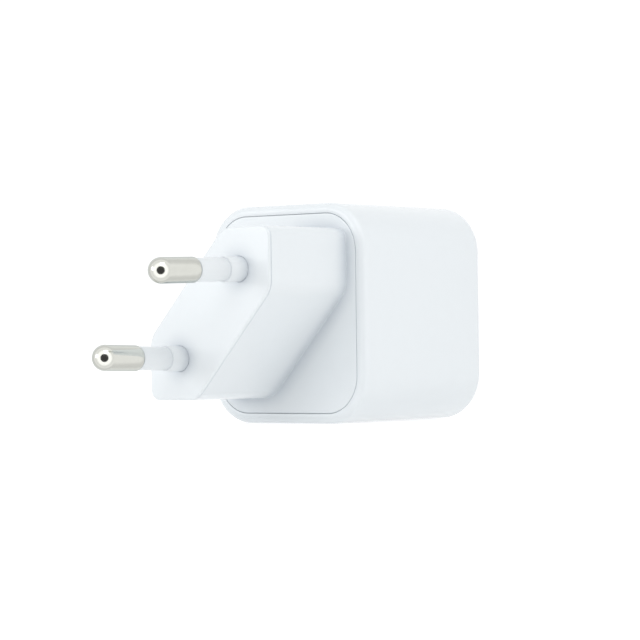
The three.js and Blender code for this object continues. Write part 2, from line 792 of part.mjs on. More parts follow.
// A coated ceramic disc on two leads.
function safetyCapacitor() {
  const r = discDiameter / 2;
  const t = discThickness / 2;
  const lens = turned([
    [0, -t],
    [r - 0.9, -t],
    [r - 0.25, -t * 0.6],
    [r, 0],
    [r - 0.25, t * 0.6],
    [r - 0.9, t],
    [0, t],
  ], 24);
  const places = [-1.7, 1.7].map((z) => at(0, discY, discZ + z));
  const stubs = leads(axisX, places, mainInnerX, discX);
  return join(lens.translate(discX, discY, discZ), ...throughMain(places), ...stubs);
}

addPart("safety_capacitor", safetyCapacitor(), "disc");

const optoLeg = 0.7;
const optoZ = mainHalfHeight - ribReach - partGap - optoLeg - optoSize[2] / 2;
const optoCentre = at(mainInnerX + 0.3 + optoSize[0] / 2, mainRear - optoInset - optoSize[1] / 2, optoZ);

function optocoupler() {
  const from = mainInnerX + solderGap;
  const legs = [-1, 1].flatMap((side) => [-1, 1].map((row) => {
    const y = optoCentre.y + row * 1.27;
    const z = optoCentre.z + (side * (optoSize[2] + optoLeg)) / 2;
    const reach = optoLeg / 2 + 0.1;
    return box([from, y - 0.25, z - reach], [from + 0.8, y + 0.25, z + reach]);
  }));
  return chipBody(optoCentre, optoSize, legs);
}

addPart("optocoupler", optocoupler(), "epoxy");

// ---- Port board and its parts ----

const portBoardFront = coreY + coreWidth / 2 + railReach + partGap;
const portBoardRear = mainRear;
const portTabY = (portBoardFront + portBoardRear) / 2;

const smallCanDiameter = 6;
const smallCanLength = 8.5;
const smallCanY = portBoardFront + partGap + smallCanDiameter / 2;
const nearCanX = mainInnerX + partGap + smallCanDiameter / 2;
const farCanX = usbWidth / 2 + partGap + smallCanDiameter / 2;
const portBoardFar = farCanX + smallCanDiameter / 2 + partGap;

// An electrolytic can hanging under the port board.
function outputCapacitor(x) {
  const hanging = new THREE.Matrix4().makeRotationX(-Math.PI / 2);
  hanging.setPosition(x, smallCanY, portBoardBottom - partGap);
  const can = placed(electrolytic(smallCanDiameter, smallCanLength), hanging);
  const places = [-1.1, 1.1].map((dx) => at(x + dx, smallCanY, 0));
  return join(can, ...throughPort(places));
}

addPart("output_capacitor_near", outputCapacitor(nearCanX), "canAluminium");
addPart("output_capacitor_far", outputCapacitor(farCanX), "canAluminium");

// Two flat chips side by side under the port board, below the receptacle.
const portChip = [3.4, 3.4, 0.9];
const portChipZ = portBoardBottom - solderGap - portChip[2] / 2;
const portChipX = portChip[0] / 2 + partGap;

addPart("rectifier_chip", chipBody(at(-portChipX, portTabY, portChipZ), portChip, []), "epoxy");
addPart("protocol_chip", chipBody(at(portChipX, portTabY, portChipZ), portChip, []), "epoxy");

// The receptacle's steel tube, with four legs that pass through the port board.
function usbShell() {
  const outer = alongY(portOutline(0), usbBack, usbMouth, 0, 6);
  const inner = alongY(portOutline(-usbWall), usbBack - 1, usbMouth + 1, 0, 6);
  const legHalf = 0.5;
  const legX = usbWidth / 2 - usbWall / 2;
  const legPlaces = [usbBack + 1.2, usbBack + 5];
  const legs = [-1, 1].flatMap((side) => legPlaces.map((y) => {
    const x = side * legX;
    boardHoles.port.push(box([x - 0.4, y - 0.8, portBoardBottom - 1], [x + 0.4, y + 0.8, portBoardTop + 1]));
    return box([x - usbWall / 2, y - legHalf, portBoardBottom - 0.2], [x + usbWall / 2, y + legHalf, 0]);
  }));
  return join(outer.subtract(inner), ...legs);
}

addPart("usb_shell", usbShell(), "steel");

// The moulded block at the back of the tube and the tongue that carries the contacts.
function usbTongue() {
  const block = alongY(portOutline(-usbWall - mouldedGap), usbBack + 0.1, usbBack + usbBlockDepth, 0, 6);
  const half = tongueThickness / 2;
  const outline = roundedRectangle(tongueWidth, 2 * half, 0.15);
  return join(block, alongY(outline, usbBack + 1, usbMouth - tongueSetback, 0, 2));
}

addPart("usb_tongue", usbTongue(), "contactPlastic");

// ---- Boards: cut last, when every lead's place is known ----

const tabPlaces = [-1, 1].map((side) => side * (mainHalfHeight / 2));

function inputBoard() {
  const plate = alongY(bodyOutline(wall + boardGap), inputFront, inputBack);
  const slots = tabPlaces.map((z) => {
    const half = tabWidth / 2 + slipGap;
    return box([mainOuterX - slipGap, 0, z - half], [mainInnerX + slipGap, bodyRear, z + half]);
  });
  return cut(plate, ...slots, ...boardHoles.input);
}

function mainBoard() {
  const plate = box([mainOuterX, mainFront, -mainHalfHeight], [mainInnerX, mainRear, mainHalfHeight]);
  const half = tabWidth / 2;
  const tabs = tabPlaces.map((z) =>
    box([mainOuterX, inputFront + 0.1, z - half], [mainInnerX, mainFront + 0.5, z + half]));
  const slotHalf = half + slipGap;
  const slot = box(
    [mainOuterX - 1, portTabY - slotHalf, portBoardBottom - slipGap],
    [mainInnerX + 1, portTabY + slotHalf, portBoardTop + slipGap],
  );
  return cut(join(plate, ...tabs), slot, ...boardHoles.main);
}

function portBoard() {
  const near = mainInnerX + boardGap;
  const plate = box([near, portBoardFront, portBoardBottom], [portBoardFar, portBoardRear, portBoardTop]);
  const half = tabWidth / 2;
  const tab = box([mainOuterX + 0.1, portTabY - half, portBoardBottom], [near + 0.5, portTabY + half, portBoardTop]);
  return cut(join(plate, tab), ...boardHoles.port);
}

addPart("input_board", inputBoard(), "board");
addPart("main_board", mainBoard(), "board");
addPart("port_board", portBoard(), "board");

// ---- Insulation sheet: a thin film bent round three sides of the parts ----

function insulationSheet() {
  const outer = alongY(bodyOutline(wall + slipGap), mainFront, mainRear);
  const inner = alongY(bodyOutline(wall + slipGap + sheetThickness), mainFront - 1, mainRear + 1);
  const open = box([-bodyWidth, 0, -bodyHeight], [-cavityWidth / 6, 2 * bodyRear, bodyHeight]);
  return cut(outer, inner, open);
}

addPart("insulation_sheet", insulationSheet(), "film");

// ---- Secondary leads: insulated wires from the transformer's winding to the port board ----

const secondaryDiameter = 1;
const secondaryPitch = 2;

function secondaryLead(x) {
  const radius = secondaryDiameter / 2;
  const windingSide = coreY + windingDiameter / 2 + solderGap;
  const rise = coreY + coreWidth / 2 + slipGap + radius;
  const landing = (portBoardFront + usbBack) / 2;
  const path = new THREE.CatmullRomCurve3([
    at(x, windingSide + 2 * slipGap, coreZ),
    at(x, rise - 0.1, coreZ + 1),
    at(x, rise, coreZ + 3),
    at(x, rise, portBoardBottom),
    at(x, rise + 0.7, portBoardTop + 1.5),
    at(x, landing, portBoardTop + 1.2),
    at(x, landing, portBoardTop + solderGap),
  ]);
  const section = new THREE.Shape().absarc(0, 0, radius, 0, 2 * Math.PI, false);
  return solid(new THREE.ExtrudeGeometry(section, { extrudePath: path, steps: 24, curveSegments: 5 }));
}

addPart("secondary_lead_upper", secondaryLead(coreMiddle + secondaryPitch / 2), "leadJacket");
addPart("secondary_lead_lower", secondaryLead(coreMiddle - secondaryPitch / 2), "leadJacket");

const pinReach = (pinLength - pinDiameter / 2) * Math.cos(pinLean) + pinDiameter / 2;
charger.position.set(0, (pinReach - bodyRear) / 2, bodyHeight / 2);

export default charger;
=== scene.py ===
import math
import bmesh
import bpy
from mathutils import Matrix, Vector


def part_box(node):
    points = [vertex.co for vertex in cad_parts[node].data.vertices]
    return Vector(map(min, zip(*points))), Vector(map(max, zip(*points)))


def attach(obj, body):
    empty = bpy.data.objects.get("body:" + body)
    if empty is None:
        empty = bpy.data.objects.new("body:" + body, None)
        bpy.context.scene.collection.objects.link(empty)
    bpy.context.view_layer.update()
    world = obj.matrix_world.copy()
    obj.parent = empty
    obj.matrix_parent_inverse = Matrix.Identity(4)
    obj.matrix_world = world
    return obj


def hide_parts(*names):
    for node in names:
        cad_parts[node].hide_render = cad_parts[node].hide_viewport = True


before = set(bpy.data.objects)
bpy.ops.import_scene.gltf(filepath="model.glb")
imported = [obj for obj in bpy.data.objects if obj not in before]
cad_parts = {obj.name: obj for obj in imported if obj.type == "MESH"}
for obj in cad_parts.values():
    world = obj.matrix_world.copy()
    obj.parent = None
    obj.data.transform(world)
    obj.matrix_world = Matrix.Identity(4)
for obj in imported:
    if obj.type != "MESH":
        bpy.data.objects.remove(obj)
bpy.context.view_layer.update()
mm = 0.001
print("frame loaded:", len(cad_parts), "nodes")

# Places that every piece is built from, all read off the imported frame
bodyLow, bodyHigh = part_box("housing")
coverLow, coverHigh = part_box("plug_cover")
faceY = coverLow.y  # engagement face
plateY = bodyLow.y  # front of the body and of the cover's plate
rearY = bodyHigh.y
middleZ = (bodyLow.z + bodyHigh.z) / 2
bodyWidth = bodyHigh.x - bodyLow.x
bodyHeight = bodyHigh.z - bodyLow.z


# ---- Camera ----

cameraSetup = {
    "azimuth": 39.99,  # degrees round the charger from straight in front of the pins
    "elevation": -0.42,
    "roll": -0.76,
    "distance": 0.4472,
    "lens": 162.2,
    "aimRight": 17.26 * mm,  # from the middle of the engagement face
    "aimUp": -1.11 * mm,
}


def makeCamera():
    azimuth = math.radians(cameraSetup["azimuth"])
    elevation = math.radians(cameraSetup["elevation"])
    roll = math.radians(cameraSetup["roll"])
    flat = math.cos(elevation)
    back = Vector((math.sin(azimuth) * flat, -math.cos(azimuth) * flat, math.sin(elevation)))
    right = Vector((math.cos(azimuth), math.sin(azimuth), 0))
    up = back.cross(right)
    aim = Vector((0, faceY, middleZ)) + right * cameraSetup["aimRight"] + up * cameraSetup["aimUp"]
    rolledRight = right * math.cos(roll) + up * math.sin(roll)
    rolledUp = up * math.cos(roll) - right * math.sin(roll)
    turn = Matrix((rolledRight, rolledUp, back)).transposed().to_4x4()
    data = bpy.data.cameras.new("camera")
    data.lens = cameraSetup["lens"]
    data.clip_start = 0.01
    data.clip_end = 20
    camera = bpy.data.objects.new("camera", data)
    camera.matrix_world = Matrix.Translation(aim + back * cameraSetup["distance"]) @ turn
    bpy.context.scene.collection.objects.link(camera)
    bpy.context.scene.camera = camera
    return camera


camera = makeCamera()
print("camera placed")


# ---- Outlines in X and Z, and surfaces through them ----

support = 0.12 * mm  # a narrow flat strip beside a rounded edge keeps the flat face flat


def roundedOutline(corners, steps):
    # a convex outline, anticlockwise, whose corners (x, z, radius) are arcs of the same number of points
    outline = []
    for i, (x, z, radius) in enumerate(corners):
        here = Vector((x, z))
        before = (Vector(corners[i - 1][:2]) - here).normalized()
        after = (Vector(corners[(i + 1) % len(corners)][:2]) - here).normalized()
        half = before.angle(after) / 2
        centre = here + (before + after).normalized() * radius / math.sin(half)
        start = here + before * radius / math.tan(half) - centre
        turn = math.pi - 2 * half
        for k in range(steps + 1):
            angle = math.atan2(start.y, start.x) + turn * k / steps
            outline.append(centre + radius * Vector((math.cos(angle), math.sin(angle))))
    return outline


def rectangleCorners(width, height, radius):
    w, h = width / 2, height / 2
    return [(w, -h, radius), (w, h, radius), (-w, h, radius), (-w, -h, radius)]


def circleOutline(radius, steps, centre=(0, 0)):
    turns = [2 * math.pi * k / steps for k in range(steps)]
    return [Vector(centre) + radius * Vector((math.cos(a), math.sin(a))) for a in turns]


def ringsOf(outlineAt, profile):
    # one ring for each (inset, y) of a profile, round the charger's own middle line
    return [[Vector((p.x, y, middleZ + p.y)) for p in outlineAt(inset)] for inset, y in profile]


def turnedRings(profile, place, sides):
    # one ring for each (radius, y) of a profile, about Y of its place
    return [[place @ Vector((p.x, y, p.y)) for p in circleOutline(radius, sides)] for radius, y in profile]


def frameAt(place, x, z):
    # a frame at a place with these X and Z directions
    x, z = Vector(x), Vector(z)
    matrix = Matrix((x, z.cross(x), z)).transposed().to_4x4()
    matrix.translation = place
    return matrix


def addLoft(bm, rings, closed=False, capped=False):
    rows = [[bm.verts.new(point) for point in ring] for ring in rings]
    joined = list(zip(rows, rows[1:]))
    if closed:
        joined.append((rows[-1], rows[0]))
    for lower, upper in joined:
        for i in range(len(lower)):
            j = (i + 1) % len(lower)
            bm.faces.new((lower[i], lower[j], upper[j], upper[i]))
    if capped:
        bm.faces.new(rows[0])
        bm.faces.new(rows[-1])
    return rows


def fillFlat(bm, *rows):
    # a flat face between an outer row and the rows of its holes
    edges = []
    for row in rows:
        for i, vertex in enumerate(row):
            ahead = row[(i + 1) % len(row)]
            edges.append(bm.edges.get((vertex, ahead)) or bm.edges.new((vertex, ahead)))
    bmesh.ops.triangle_fill(bm, use_beauty=True, use_dissolve=False, edges=edges)


def quarter(radius, steps=6):
    # (how far in, how far along) round a convex edge, from the side wall to the end face
    turns = [math.pi / 2 * k / steps for k in range(steps + 1)]
    return [(radius * (1 - math.cos(a)), radius * (1 - math.sin(a))) for a in turns]


def makePiece(name, bm, material, nodes=(), sharpAngle=35):
    bmesh.ops.remove_doubles(bm, verts=bm.verts, dist=1e-7)
    bmesh.ops.recalc_face_normals(bm, faces=bm.faces)
    mesh = bpy.data.meshes.new(name)
    bm.to_mesh(mesh)
    bm.free()
    mesh.shade_smooth()
    mesh.set_sharp_from_angle(angle=math.radians(sharpAngle))
    mesh.materials.append(material)
    piece = bpy.data.objects.new(name, mesh)
    bpy.context.scene.collection.objects.link(piece)
    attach(piece, "root")
    if nodes:
        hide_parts(*nodes)
    return piece


# ---- Materials ----

def feed(tree, node, inputs):
    # each input is linked to another node's output, or set to a plain value
    for name, value in inputs.items():
        if isinstance(value, bpy.types.NodeSocket):
            tree.links.new(value, node.inputs[name])
        else:
            node.inputs[name].default_value = value


def addNode(tree, kind, inputs=None, **settings):
    node = tree.nodes.new(kind)
    for name, value in settings.items():
        setattr(node, name, value)
    feed(tree, node, inputs or {})
    return node


def calculate(tree, operation, first, second=0.0, third=0.0):
    inputs = {0: first, 1: second, 2: third}
    return addNode(tree, "ShaderNodeMath", inputs, operation=operation).outputs["Value"]


def vectorFrom(tree, **parts):
    return addNode(tree, "ShaderNodeCombineXYZ", parts).outputs["Vector"]


def startMaterial(name):
    material = bpy.data.materials.new(name)
    material.use_nodes = True
    tree = material.node_tree
    return material, tree, tree.nodes["Principled BSDF"]


def ownPlace(tree):
    return addNode(tree, "ShaderNodeTexCoord").outputs["Object"]


def stretchedBy(tree, vector, scale):
    return addNode(tree, "ShaderNodeMapping", {"Vector": vector, "Scale": scale}).outputs["Vector"]


def scaledBy(tree, value, low, high):
    # a 0 to 1 value mapped to low and high
    inputs = {"Value": value, "To Min": low, "To Max": high}
    return addNode(tree, "ShaderNodeMapRange", inputs).outputs["Result"]


def noiseAt(tree, vector, size, detail=2.0, roughness=0.5):
    inputs = {"Vector": vector, "Scale": 1 / size, "Detail": detail, "Roughness": roughness}
    return addNode(tree, "ShaderNodeTexNoise", inputs).outputs["Fac"]


def bumpFrom(tree, height, distance, strength=1.0, below=None):
    inputs = {"Height": height, "Distance": distance, "Strength": strength}
    if below is not None:
        inputs["Normal"] = below
    return addNode(tree, "ShaderNodeBump", inputs).outputs["Normal"]


def mixColours(tree, factor, first, second):
    # each colour is a node's output or a plain (red, green, blue)
    colours = [c if isinstance(c, bpy.types.NodeSocket) else (*c, 1) for c in (first, second)]
    inputs = {"Factor": factor, 6: colours[0], 7: colours[1]}
    return addNode(tree, "ShaderNodeMix", inputs, data_type="RGBA").outputs[2]


def tinted(colour, amount):
    return tuple(min(1.0, channel * amount) for channel in colour)


# painted shade in creases: how far the occlusion mask looks, its samples, and the tint that the base colour
# takes there
paintedCreaseShade = {"reach": 2.6 * mm, "samples": 8, "tint": (0.66, 0.70, 0.76)}


def mouldedPlastic(name, colour, roughness=0.3, grain=0.06 * mm, grainHeight=0.9e-6, ownCreases=False):
    # injection-moulded plastic: a spark-eroded grain, slight sink waves, uneven gloss, and painted shade: a
    # cooler, darker base colour in creases; with ownCreases, a crease between two pieces isn't shaded, only
    # one within the piece
    waveHeight, glossSpread = 4e-6, 0.03
    material, tree, shader = startMaterial(name)
    place = ownPlace(tree)
    patches = noiseAt(tree, place, 1.7 * mm, 4.0, 0.6)
    waves = bumpFrom(tree, noiseAt(tree, place, 9 * mm, 1.0), waveHeight)
    tone = mixColours(tree, patches, tinted(colour, 0.988), tinted(colour, 1.008))
    # painted shade: the base colour turns to the darker, cooler tint where the occlusion mask finds a crease
    openness = addNode(tree, "ShaderNodeAmbientOcclusion", {"Distance": paintedCreaseShade["reach"]},
                       samples=paintedCreaseShade["samples"], only_local=ownCreases).outputs["AO"]
    paintedShadeColour = tuple(c * t for c, t in zip(colour, paintedCreaseShade["tint"]))
    feed(tree, shader, {
        "Base Color": mixColours(tree, openness, paintedShadeColour, tone),
        "Roughness": scaledBy(tree, patches, roughness - glossSpread, roughness + glossSpread),
        "Normal": bumpFrom(tree, noiseAt(tree, place, grain, 3.0), grainHeight, 1.0, waves),
        "IOR": 1.5,
    })
    return material


def turnedMetal(name, colour, roughness=0.13, pitch=0.09 * mm):
    # plated turned metal: fine rings along V of the UV map, faint rubbed streaks along it
    material, tree, shader = startMaterial(name)
    around = addNode(tree, "ShaderNodeUVMap", uv_map="along").outputs["UV"]
    rings = noiseAt(tree, stretchedBy(tree, around, (0.6, 1 / pitch, 1)), 1.0)
    streaks = noiseAt(tree, stretchedBy(tree, around, (90, 260, 1)), 1.0, 4.0)
    haze = noiseAt(tree, ownPlace(tree), 1.1 * mm, 4.0, 0.6)
    feed(tree, shader, {
        "Base Color": mixColours(tree, haze, tinted(colour, 0.93), tinted(colour, 1.03)),
        "Roughness": scaledBy(tree, streaks, roughness * 0.6, roughness * 1.5),
        "Normal": bumpFrom(tree, rings, 0.5e-6),
        "Metallic": 1.0,
        "Specular Tint": (0.62, 0.65, 0.66, 1),  # the plating darkens at a grazing angle
    })
    return material


shellColour = (0.68, 0.715, 0.738)
bodyPlastic = mouldedPlastic("bodyPlastic", shellColour, 0.24, ownCreases=True)
coverPlastic = mouldedPlastic("coverPlastic", shellColour, 0.24)
sleevePlastic = mouldedPlastic("sleevePlastic", (0.665, 0.695, 0.715), 0.34, grain=0.04 * mm)
pinNickel = turnedMetal("pinNickel", (0.74, 0.745, 0.695))


# ---- Body shell ----

housingSizes = {
    "corner": 7.7 * mm,
    "wall": 1.9 * mm,
    "rearWall": 1.8 * mm,
    "rim": 1.6 * mm,
    "seatDepth": 2.2 * mm,
    "frontEdge": 1.0 * mm,
    "rimEdge": 0.12 * mm,
    "rearEdge": 1.4 * mm,
    "innerEdge": 0.8 * mm,
    "draft": 0.15 * mm,  # how much nearer the middle the rear edge is
    "cornerSteps": 24,
    "rib": 1.0 * mm,
    "ribReach": 1.5 * mm,  # how far a rib reaches over the board's edge
    "ribGap": 0.2 * mm,
    "ribRoot": 0.9 * mm,  # the ribs' roots are sunk into the wall
}

portSizes = {
    "width": 8.94 * mm,
    "height": 3.16 * mm,
    "gap": 0.25 * mm,
    "chamfer": 0.4 * mm,
    "steps": 16,
}


def bodyOutline(inset):
    s = housingSizes
    radius = max(s["corner"] - inset, 0.3 * mm)
    corners = rectangleCorners(bodyWidth - 2 * inset, bodyHeight - 2 * inset, radius)
    return roundedOutline(corners, s["cornerSteps"])


def portOutline(grow):
    s = portSizes
    height = s["height"] + 2 * grow
    corners = rectangleCorners(s["width"] + 2 * grow, height, height / 2 - 0.01 * mm)
    return roundedOutline(corners, s["steps"])


def addBlock(bm, low, high):
    for vertex in bmesh.ops.create_cube(bm, size=1)["verts"]:
        vertex.co = [low[i] + (high[i] - low[i]) * (vertex.co[i] + 0.5) for i in range(3)]


def addBoardRibs(bm, cavityRear):
    # the main board's long edges slide in between two ribs at the top and two at the bottom
    s = housingSizes
    boardLow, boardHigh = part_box("main_board")
    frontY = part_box("heat_spreader")[0].y
    half = (boardHigh.z - boardLow.z) / 2
    root = half + s["ribRoot"]
    gap, rib = s["ribGap"], s["rib"]
    for x in (boardLow.x - gap - rib, boardHigh.x + gap):
        for side in (-1, 1):
            z0, z1 = sorted(middleZ + side * reach for reach in (half - s["ribReach"], root))
            addBlock(bm, (x, frontY, z0), (x + rib, cavityRear + 0.2 * mm, z1))


def makeHousing():
    s = housingSizes
    seatY = plateY + s["seatDepth"]
    cavityRear = rearY - s["rearWall"]
    outer = [(s["wall"], seatY), (s["rim"], seatY)]
    outer += [(s["rim"] - inward, plateY + along) for inward, along in quarter(s["rimEdge"], 4)]
    outer += [(s["frontEdge"] + support, plateY)]
    outer += [(inward, plateY + along) for inward, along in reversed(quarter(s["frontEdge"], 8))]
    outer += [(inward + s["draft"], rearY - along) for inward, along in quarter(s["rearEdge"], 10)]
    outer += [(s["rearEdge"] + s["draft"] + support, rearY)]
    innerEdge = reversed(quarter(s["innerEdge"], 5))
    inner = [(s["wall"] + inward, cavityRear - along) for inward, along in innerEdge]
    inner.append((s["wall"], seatY + support))
    gap, chamfer = portSizes["gap"], portSizes["chamfer"]
    port = [(gap + chamfer + support, rearY), (gap + chamfer, rearY)]
    port += [(gap + chamfer * 0.12, rearY - chamfer * 0.88), (gap, rearY - chamfer - 0.05 * mm)]
    port += [(gap, cavityRear + support), (gap, cavityRear)]
    bm = bmesh.new()
    outside = addLoft(bm, ringsOf(bodyOutline, outer))
    tunnel = addLoft(bm, ringsOf(portOutline, port))
    inside = addLoft(bm, ringsOf(bodyOutline, inner))
    fillFlat(bm, outside[-1], tunnel[0])
    fillFlat(bm, inside[0], tunnel[-1])
    for i in range(len(outside[0])):
        j = (i + 1) % len(outside[0])
        bm.faces.new((inside[-1][i], inside[-1][j], outside[0][j], outside[0][i]))
    addBoardRibs(bm, cavityRear)
    return makePiece("bodyShell", bm, bodyPlastic, ["housing"])


makeHousing()
print("body shell made")


# ---- Plug cover ----

coverSizes = {
    "inset": 1.64 * mm,  # the plate's edge from the body's outside, a fine seam inside the rim
    "thickness": 2.0 * mm,
    "plateEdge": 0.15 * mm,
    "skirtInset": 2.1 * mm,
    "skirtWall": 1.2 * mm,
    "headWidth": 25.1 * mm,
    "headHeight": 26.8 * mm,
    "band": 13.7 * mm,
    "angle": math.radians(47.5),
    "sharp": 1.7 * mm,
    "blunt": 4.0 * mm,
    "root": 0.1 * mm,
    "faceEdge": 0.35 * mm,
    "faceLine": 0.13 * mm,
    "faceWall": 1.8 * mm,
    "headWall": 1.6 * mm,
    "hollowEdge": 0.4 * mm,
    "stake": 2.0 * mm,
    "stakeHead": 3.4 * mm,
    "stakeDome": 0.8 * mm,
    "stakeSpacing": 6.0 * mm,
    "steps": 14,
}

pinSizes = {
    "diameter": 4.0 * mm,
    "length": 19.0 * mm,
    "spacing": 18.6 * mm,
    "tipSpacing": 17.5 * mm,
    "bare": 9.0 * mm,
    "shoulder": 0.35 * mm,
    "neck": 2.9 * mm,
    "sleeve": 3.7 * mm,
    "collar": 4.0 * mm,
    "collarLength": 3.5 * mm,
    "hole": 4.04 * mm,
    "holeEdge": 0.06 * mm,
    "flange": 5.2 * mm,
    "flangeThickness": 1.4 * mm,
    "flangeEdge": 0.1 * mm,
    "sleeveFlange": 0.7 * mm,
    "tail": 2.4 * mm,
    "tailDepth": 12.0 * mm,
    "tailEdge": 0.3 * mm,
}


def headOutline(inset):
    s = coverSizes
    w = s["headWidth"] / 2 - inset
    h = s["headHeight"] / 2 - inset
    band = s["band"] / 2 - inset
    sideZ = (math.sin(s["angle"]) * w - band) / math.cos(s["angle"])
    endX = (math.cos(s["angle"]) * h - band) / math.sin(s["angle"])
    sharp = max(s["sharp"] - inset, 0.2 * mm)
    blunt = max(s["blunt"] - inset, 0.2 * mm)
    corners = [(w, sideZ, blunt), (w, h, sharp), (endX, h, blunt),
               (-w, -sideZ, blunt), (-w, -h, sharp), (-endX, -h, blunt)]
    return roundedOutline(corners, s["steps"])


# From the lower pin to the upper one
headWay = Vector((math.cos(coverSizes["angle"]), 0, math.sin(coverSizes["angle"])))


def pinFrame(side):
    # X points outwards from the plug's middle, Y along the pin towards the body; the tips lean together
    s = pinSizes
    outwards = headWay * side
    lean = math.atan2((s["spacing"] - s["tipSpacing"]) / 2, s["length"])
    foot = Vector((0, faceY, middleZ)) + outwards * s["spacing"] / 2
    return frameAt(foot, outwards, outwards.cross((0, 1, 0))) @ Matrix.Rotation(-lean, 4, "Z")


def holeRing(side, radius, y):
    place = pinFrame(side)
    axis = (place @ Vector((0, 1, 0)) - place.translation).normalized()
    centre = place.translation + axis * ((y - place.translation.y) / axis.y)
    return [Vector((centre.x + p.x, y, centre.z + p.y)) for p in circleOutline(radius, 48)]


def addStakes(bm, innerFace):
    # two stakes hold the pin carrier and its retainer; their ends are melted over into domed heads
    s = coverSizes
    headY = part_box("pin_retainer")[1].y + 0.15 * mm
    stake, head, dome = s["stake"] / 2, s["stakeHead"] / 2, s["stakeDome"]
    profile = [(stake, innerFace - 0.5 * mm), (stake, headY), (head, headY), (head, headY + 0.3 * mm),
               (head - 0.25 * mm, headY + dome - 0.15 * mm), (head - dome, headY + dome)]
    for side in (-1, 1):
        centre = Vector((0, 0, middleZ)) + headWay * side * s["stakeSpacing"] / 2
        addLoft(bm, turnedRings(profile, Matrix.Translation(centre), 24), capped=True)


def makePlugCover():
    s = coverSizes
    plateBack = plateY + s["thickness"]
    skirtEnd = coverHigh.y
    innerFace = faceY + s["faceWall"]
    edge = s["plateEdge"]
    plate = [(s["skirtInset"] + s["skirtWall"], plateBack), (s["skirtInset"] + s["skirtWall"], skirtEnd)]
    plate += [(s["skirtInset"], skirtEnd), (s["skirtInset"], plateBack), (s["inset"], plateBack)]
    plate += [(s["inset"] + inward, plateY + along) for inward, along in quarter(edge, 5)]
    plate += [(s["inset"] + edge + support, plateY)]
    head = [(-s["root"] - support, plateY)]
    head += [(-along, plateY - inward) for inward, along in quarter(s["root"], 8)]
    line = s["faceLine"]  # a fine parting line runs round the head, just behind its face
    lineY = faceY + s["faceEdge"]
    head += [(line * sunk, lineY + line * back) for sunk, back in [(0, 2.3), (1, 1.3), (0, 0.3)]]
    head += [(inward, faceY + along) for inward, along in quarter(s["faceEdge"], 8)]
    head += [(s["faceEdge"] + support, faceY)]
    wall, hollowEdge = s["headWall"], s["hollowEdge"]
    hollow = [(wall + hollowEdge + support, innerFace)]
    hollow += [(wall + inward, innerFace + along) for inward, along in reversed(quarter(hollowEdge, 4))]
    hollow += [(wall, plateBack)]
    bm = bmesh.new()
    plateRows = addLoft(bm, ringsOf(bodyOutline, plate))
    headRows = addLoft(bm, ringsOf(headOutline, head))
    hollowRows = addLoft(bm, ringsOf(headOutline, hollow))
    bores = []
    for side in (1, -1):
        radius = pinSizes["hole"] / 2
        rim = pinSizes["holeEdge"]
        steps = [(radius + rim + support, faceY), (radius + rim, faceY)]
        steps += [(radius + inward, faceY + along) for inward, along in quarter(rim, 4)[::-1][1:]]
        steps += [(radius, innerFace)]
        bores.append(addLoft(bm, [holeRing(side, r, y) for r, y in steps]))
    fillFlat(bm, plateRows[-1], headRows[0])
    fillFlat(bm, headRows[-1], bores[0][0], bores[1][0])
    fillFlat(bm, hollowRows[0], bores[0][-1], bores[1][-1])
    fillFlat(bm, hollowRows[-1], plateRows[0])
    addStakes(bm, innerFace)
    return makePiece("plugCover", bm, coverPlastic, ["plug_cover"])


makePlugCover()
print("plug cover made")


# ---- Pins and sleeves ----

def makeTurned(name, profile, place, material, nodes, sides=72, closed=False):
    # a solid of revolution about Y of its place, from (radius, y) pairs; V of its UV map is the length
    # travelled along the profile
    bm = bmesh.new()
    layer = bm.loops.layers.uv.new("along")
    rows = []
    for (radius, y), ring in zip(profile, turnedRings(profile, place, sides)):
        points = ring if radius > 1e-7 else [place @ Vector((0, y, 0))]
        rows.append([bm.verts.new(point) for point in points])
    travelled = [0.0]
    for (r0, y0), (r1, y1) in zip(profile, profile[1:]):
        travelled.append(travelled[-1] + math.hypot(r1 - r0, y1 - y0))
    for row in range(len(rows) - 1):
        lower, upper = rows[row], rows[row + 1]
        for i in range(sides):
            j = (i + 1) % sides
            corners = [(lower, i, row), (lower, j, row), (upper, j, row + 1), (upper, i, row + 1)]
            used = []
            for ring, index, level in corners:
                vertex = ring[index % len(ring)]
                if vertex not in [u[0] for u in used]:
                    used.append((vertex, index, level))
            face = bm.faces.new([u[0] for u in used])
            for loop, (vertex, index, level) in zip(face.loops, used):
                around = (i + 1 if index == j and j == 0 else index) / sides
                loop[layer].uv = (around, travelled[level])
    if closed:
        for i in range(sides):
            j = (i + 1) % sides
            bm.faces.new((rows[-1][i], rows[-1][j], rows[0][j], rows[0][i]))
    return makePiece(name, bm, material, nodes)


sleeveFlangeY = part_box("upper_pin_sleeve")[1].y - faceY


def makePin(side, name, node):
    s = pinSizes
    radius = s["diameter"] / 2
    profile = [(radius - along, inward - s["length"]) for inward, along in quarter(radius, 20)]
    neckY = s["bare"] - s["length"]
    profile += [(radius, neckY - s["shoulder"] - 1 * mm)]
    profile += [(radius - inward, neckY - along) for inward, along in quarter(s["shoulder"], 6)]
    neck, flange, tail = s["neck"] / 2, s["flange"] / 2, s["tail"] / 2
    flangeY = sleeveFlangeY + 0.2 * mm
    flangeEnd = flangeY + s["flangeThickness"]
    edge, tailEdge = s["flangeEdge"], s["tailEdge"]
    profile += [(neck, neckY), (neck, flangeY), (flange - edge, flangeY), (flange, flangeY + edge)]
    profile += [(flange, flangeEnd - edge), (flange - edge, flangeEnd), (tail, flangeEnd)]
    profile += [(tail, s["tailDepth"] - tailEdge), (tail - tailEdge, s["tailDepth"]), (0, s["tailDepth"])]
    return makeTurned(name, profile, pinFrame(side), pinNickel, [node])


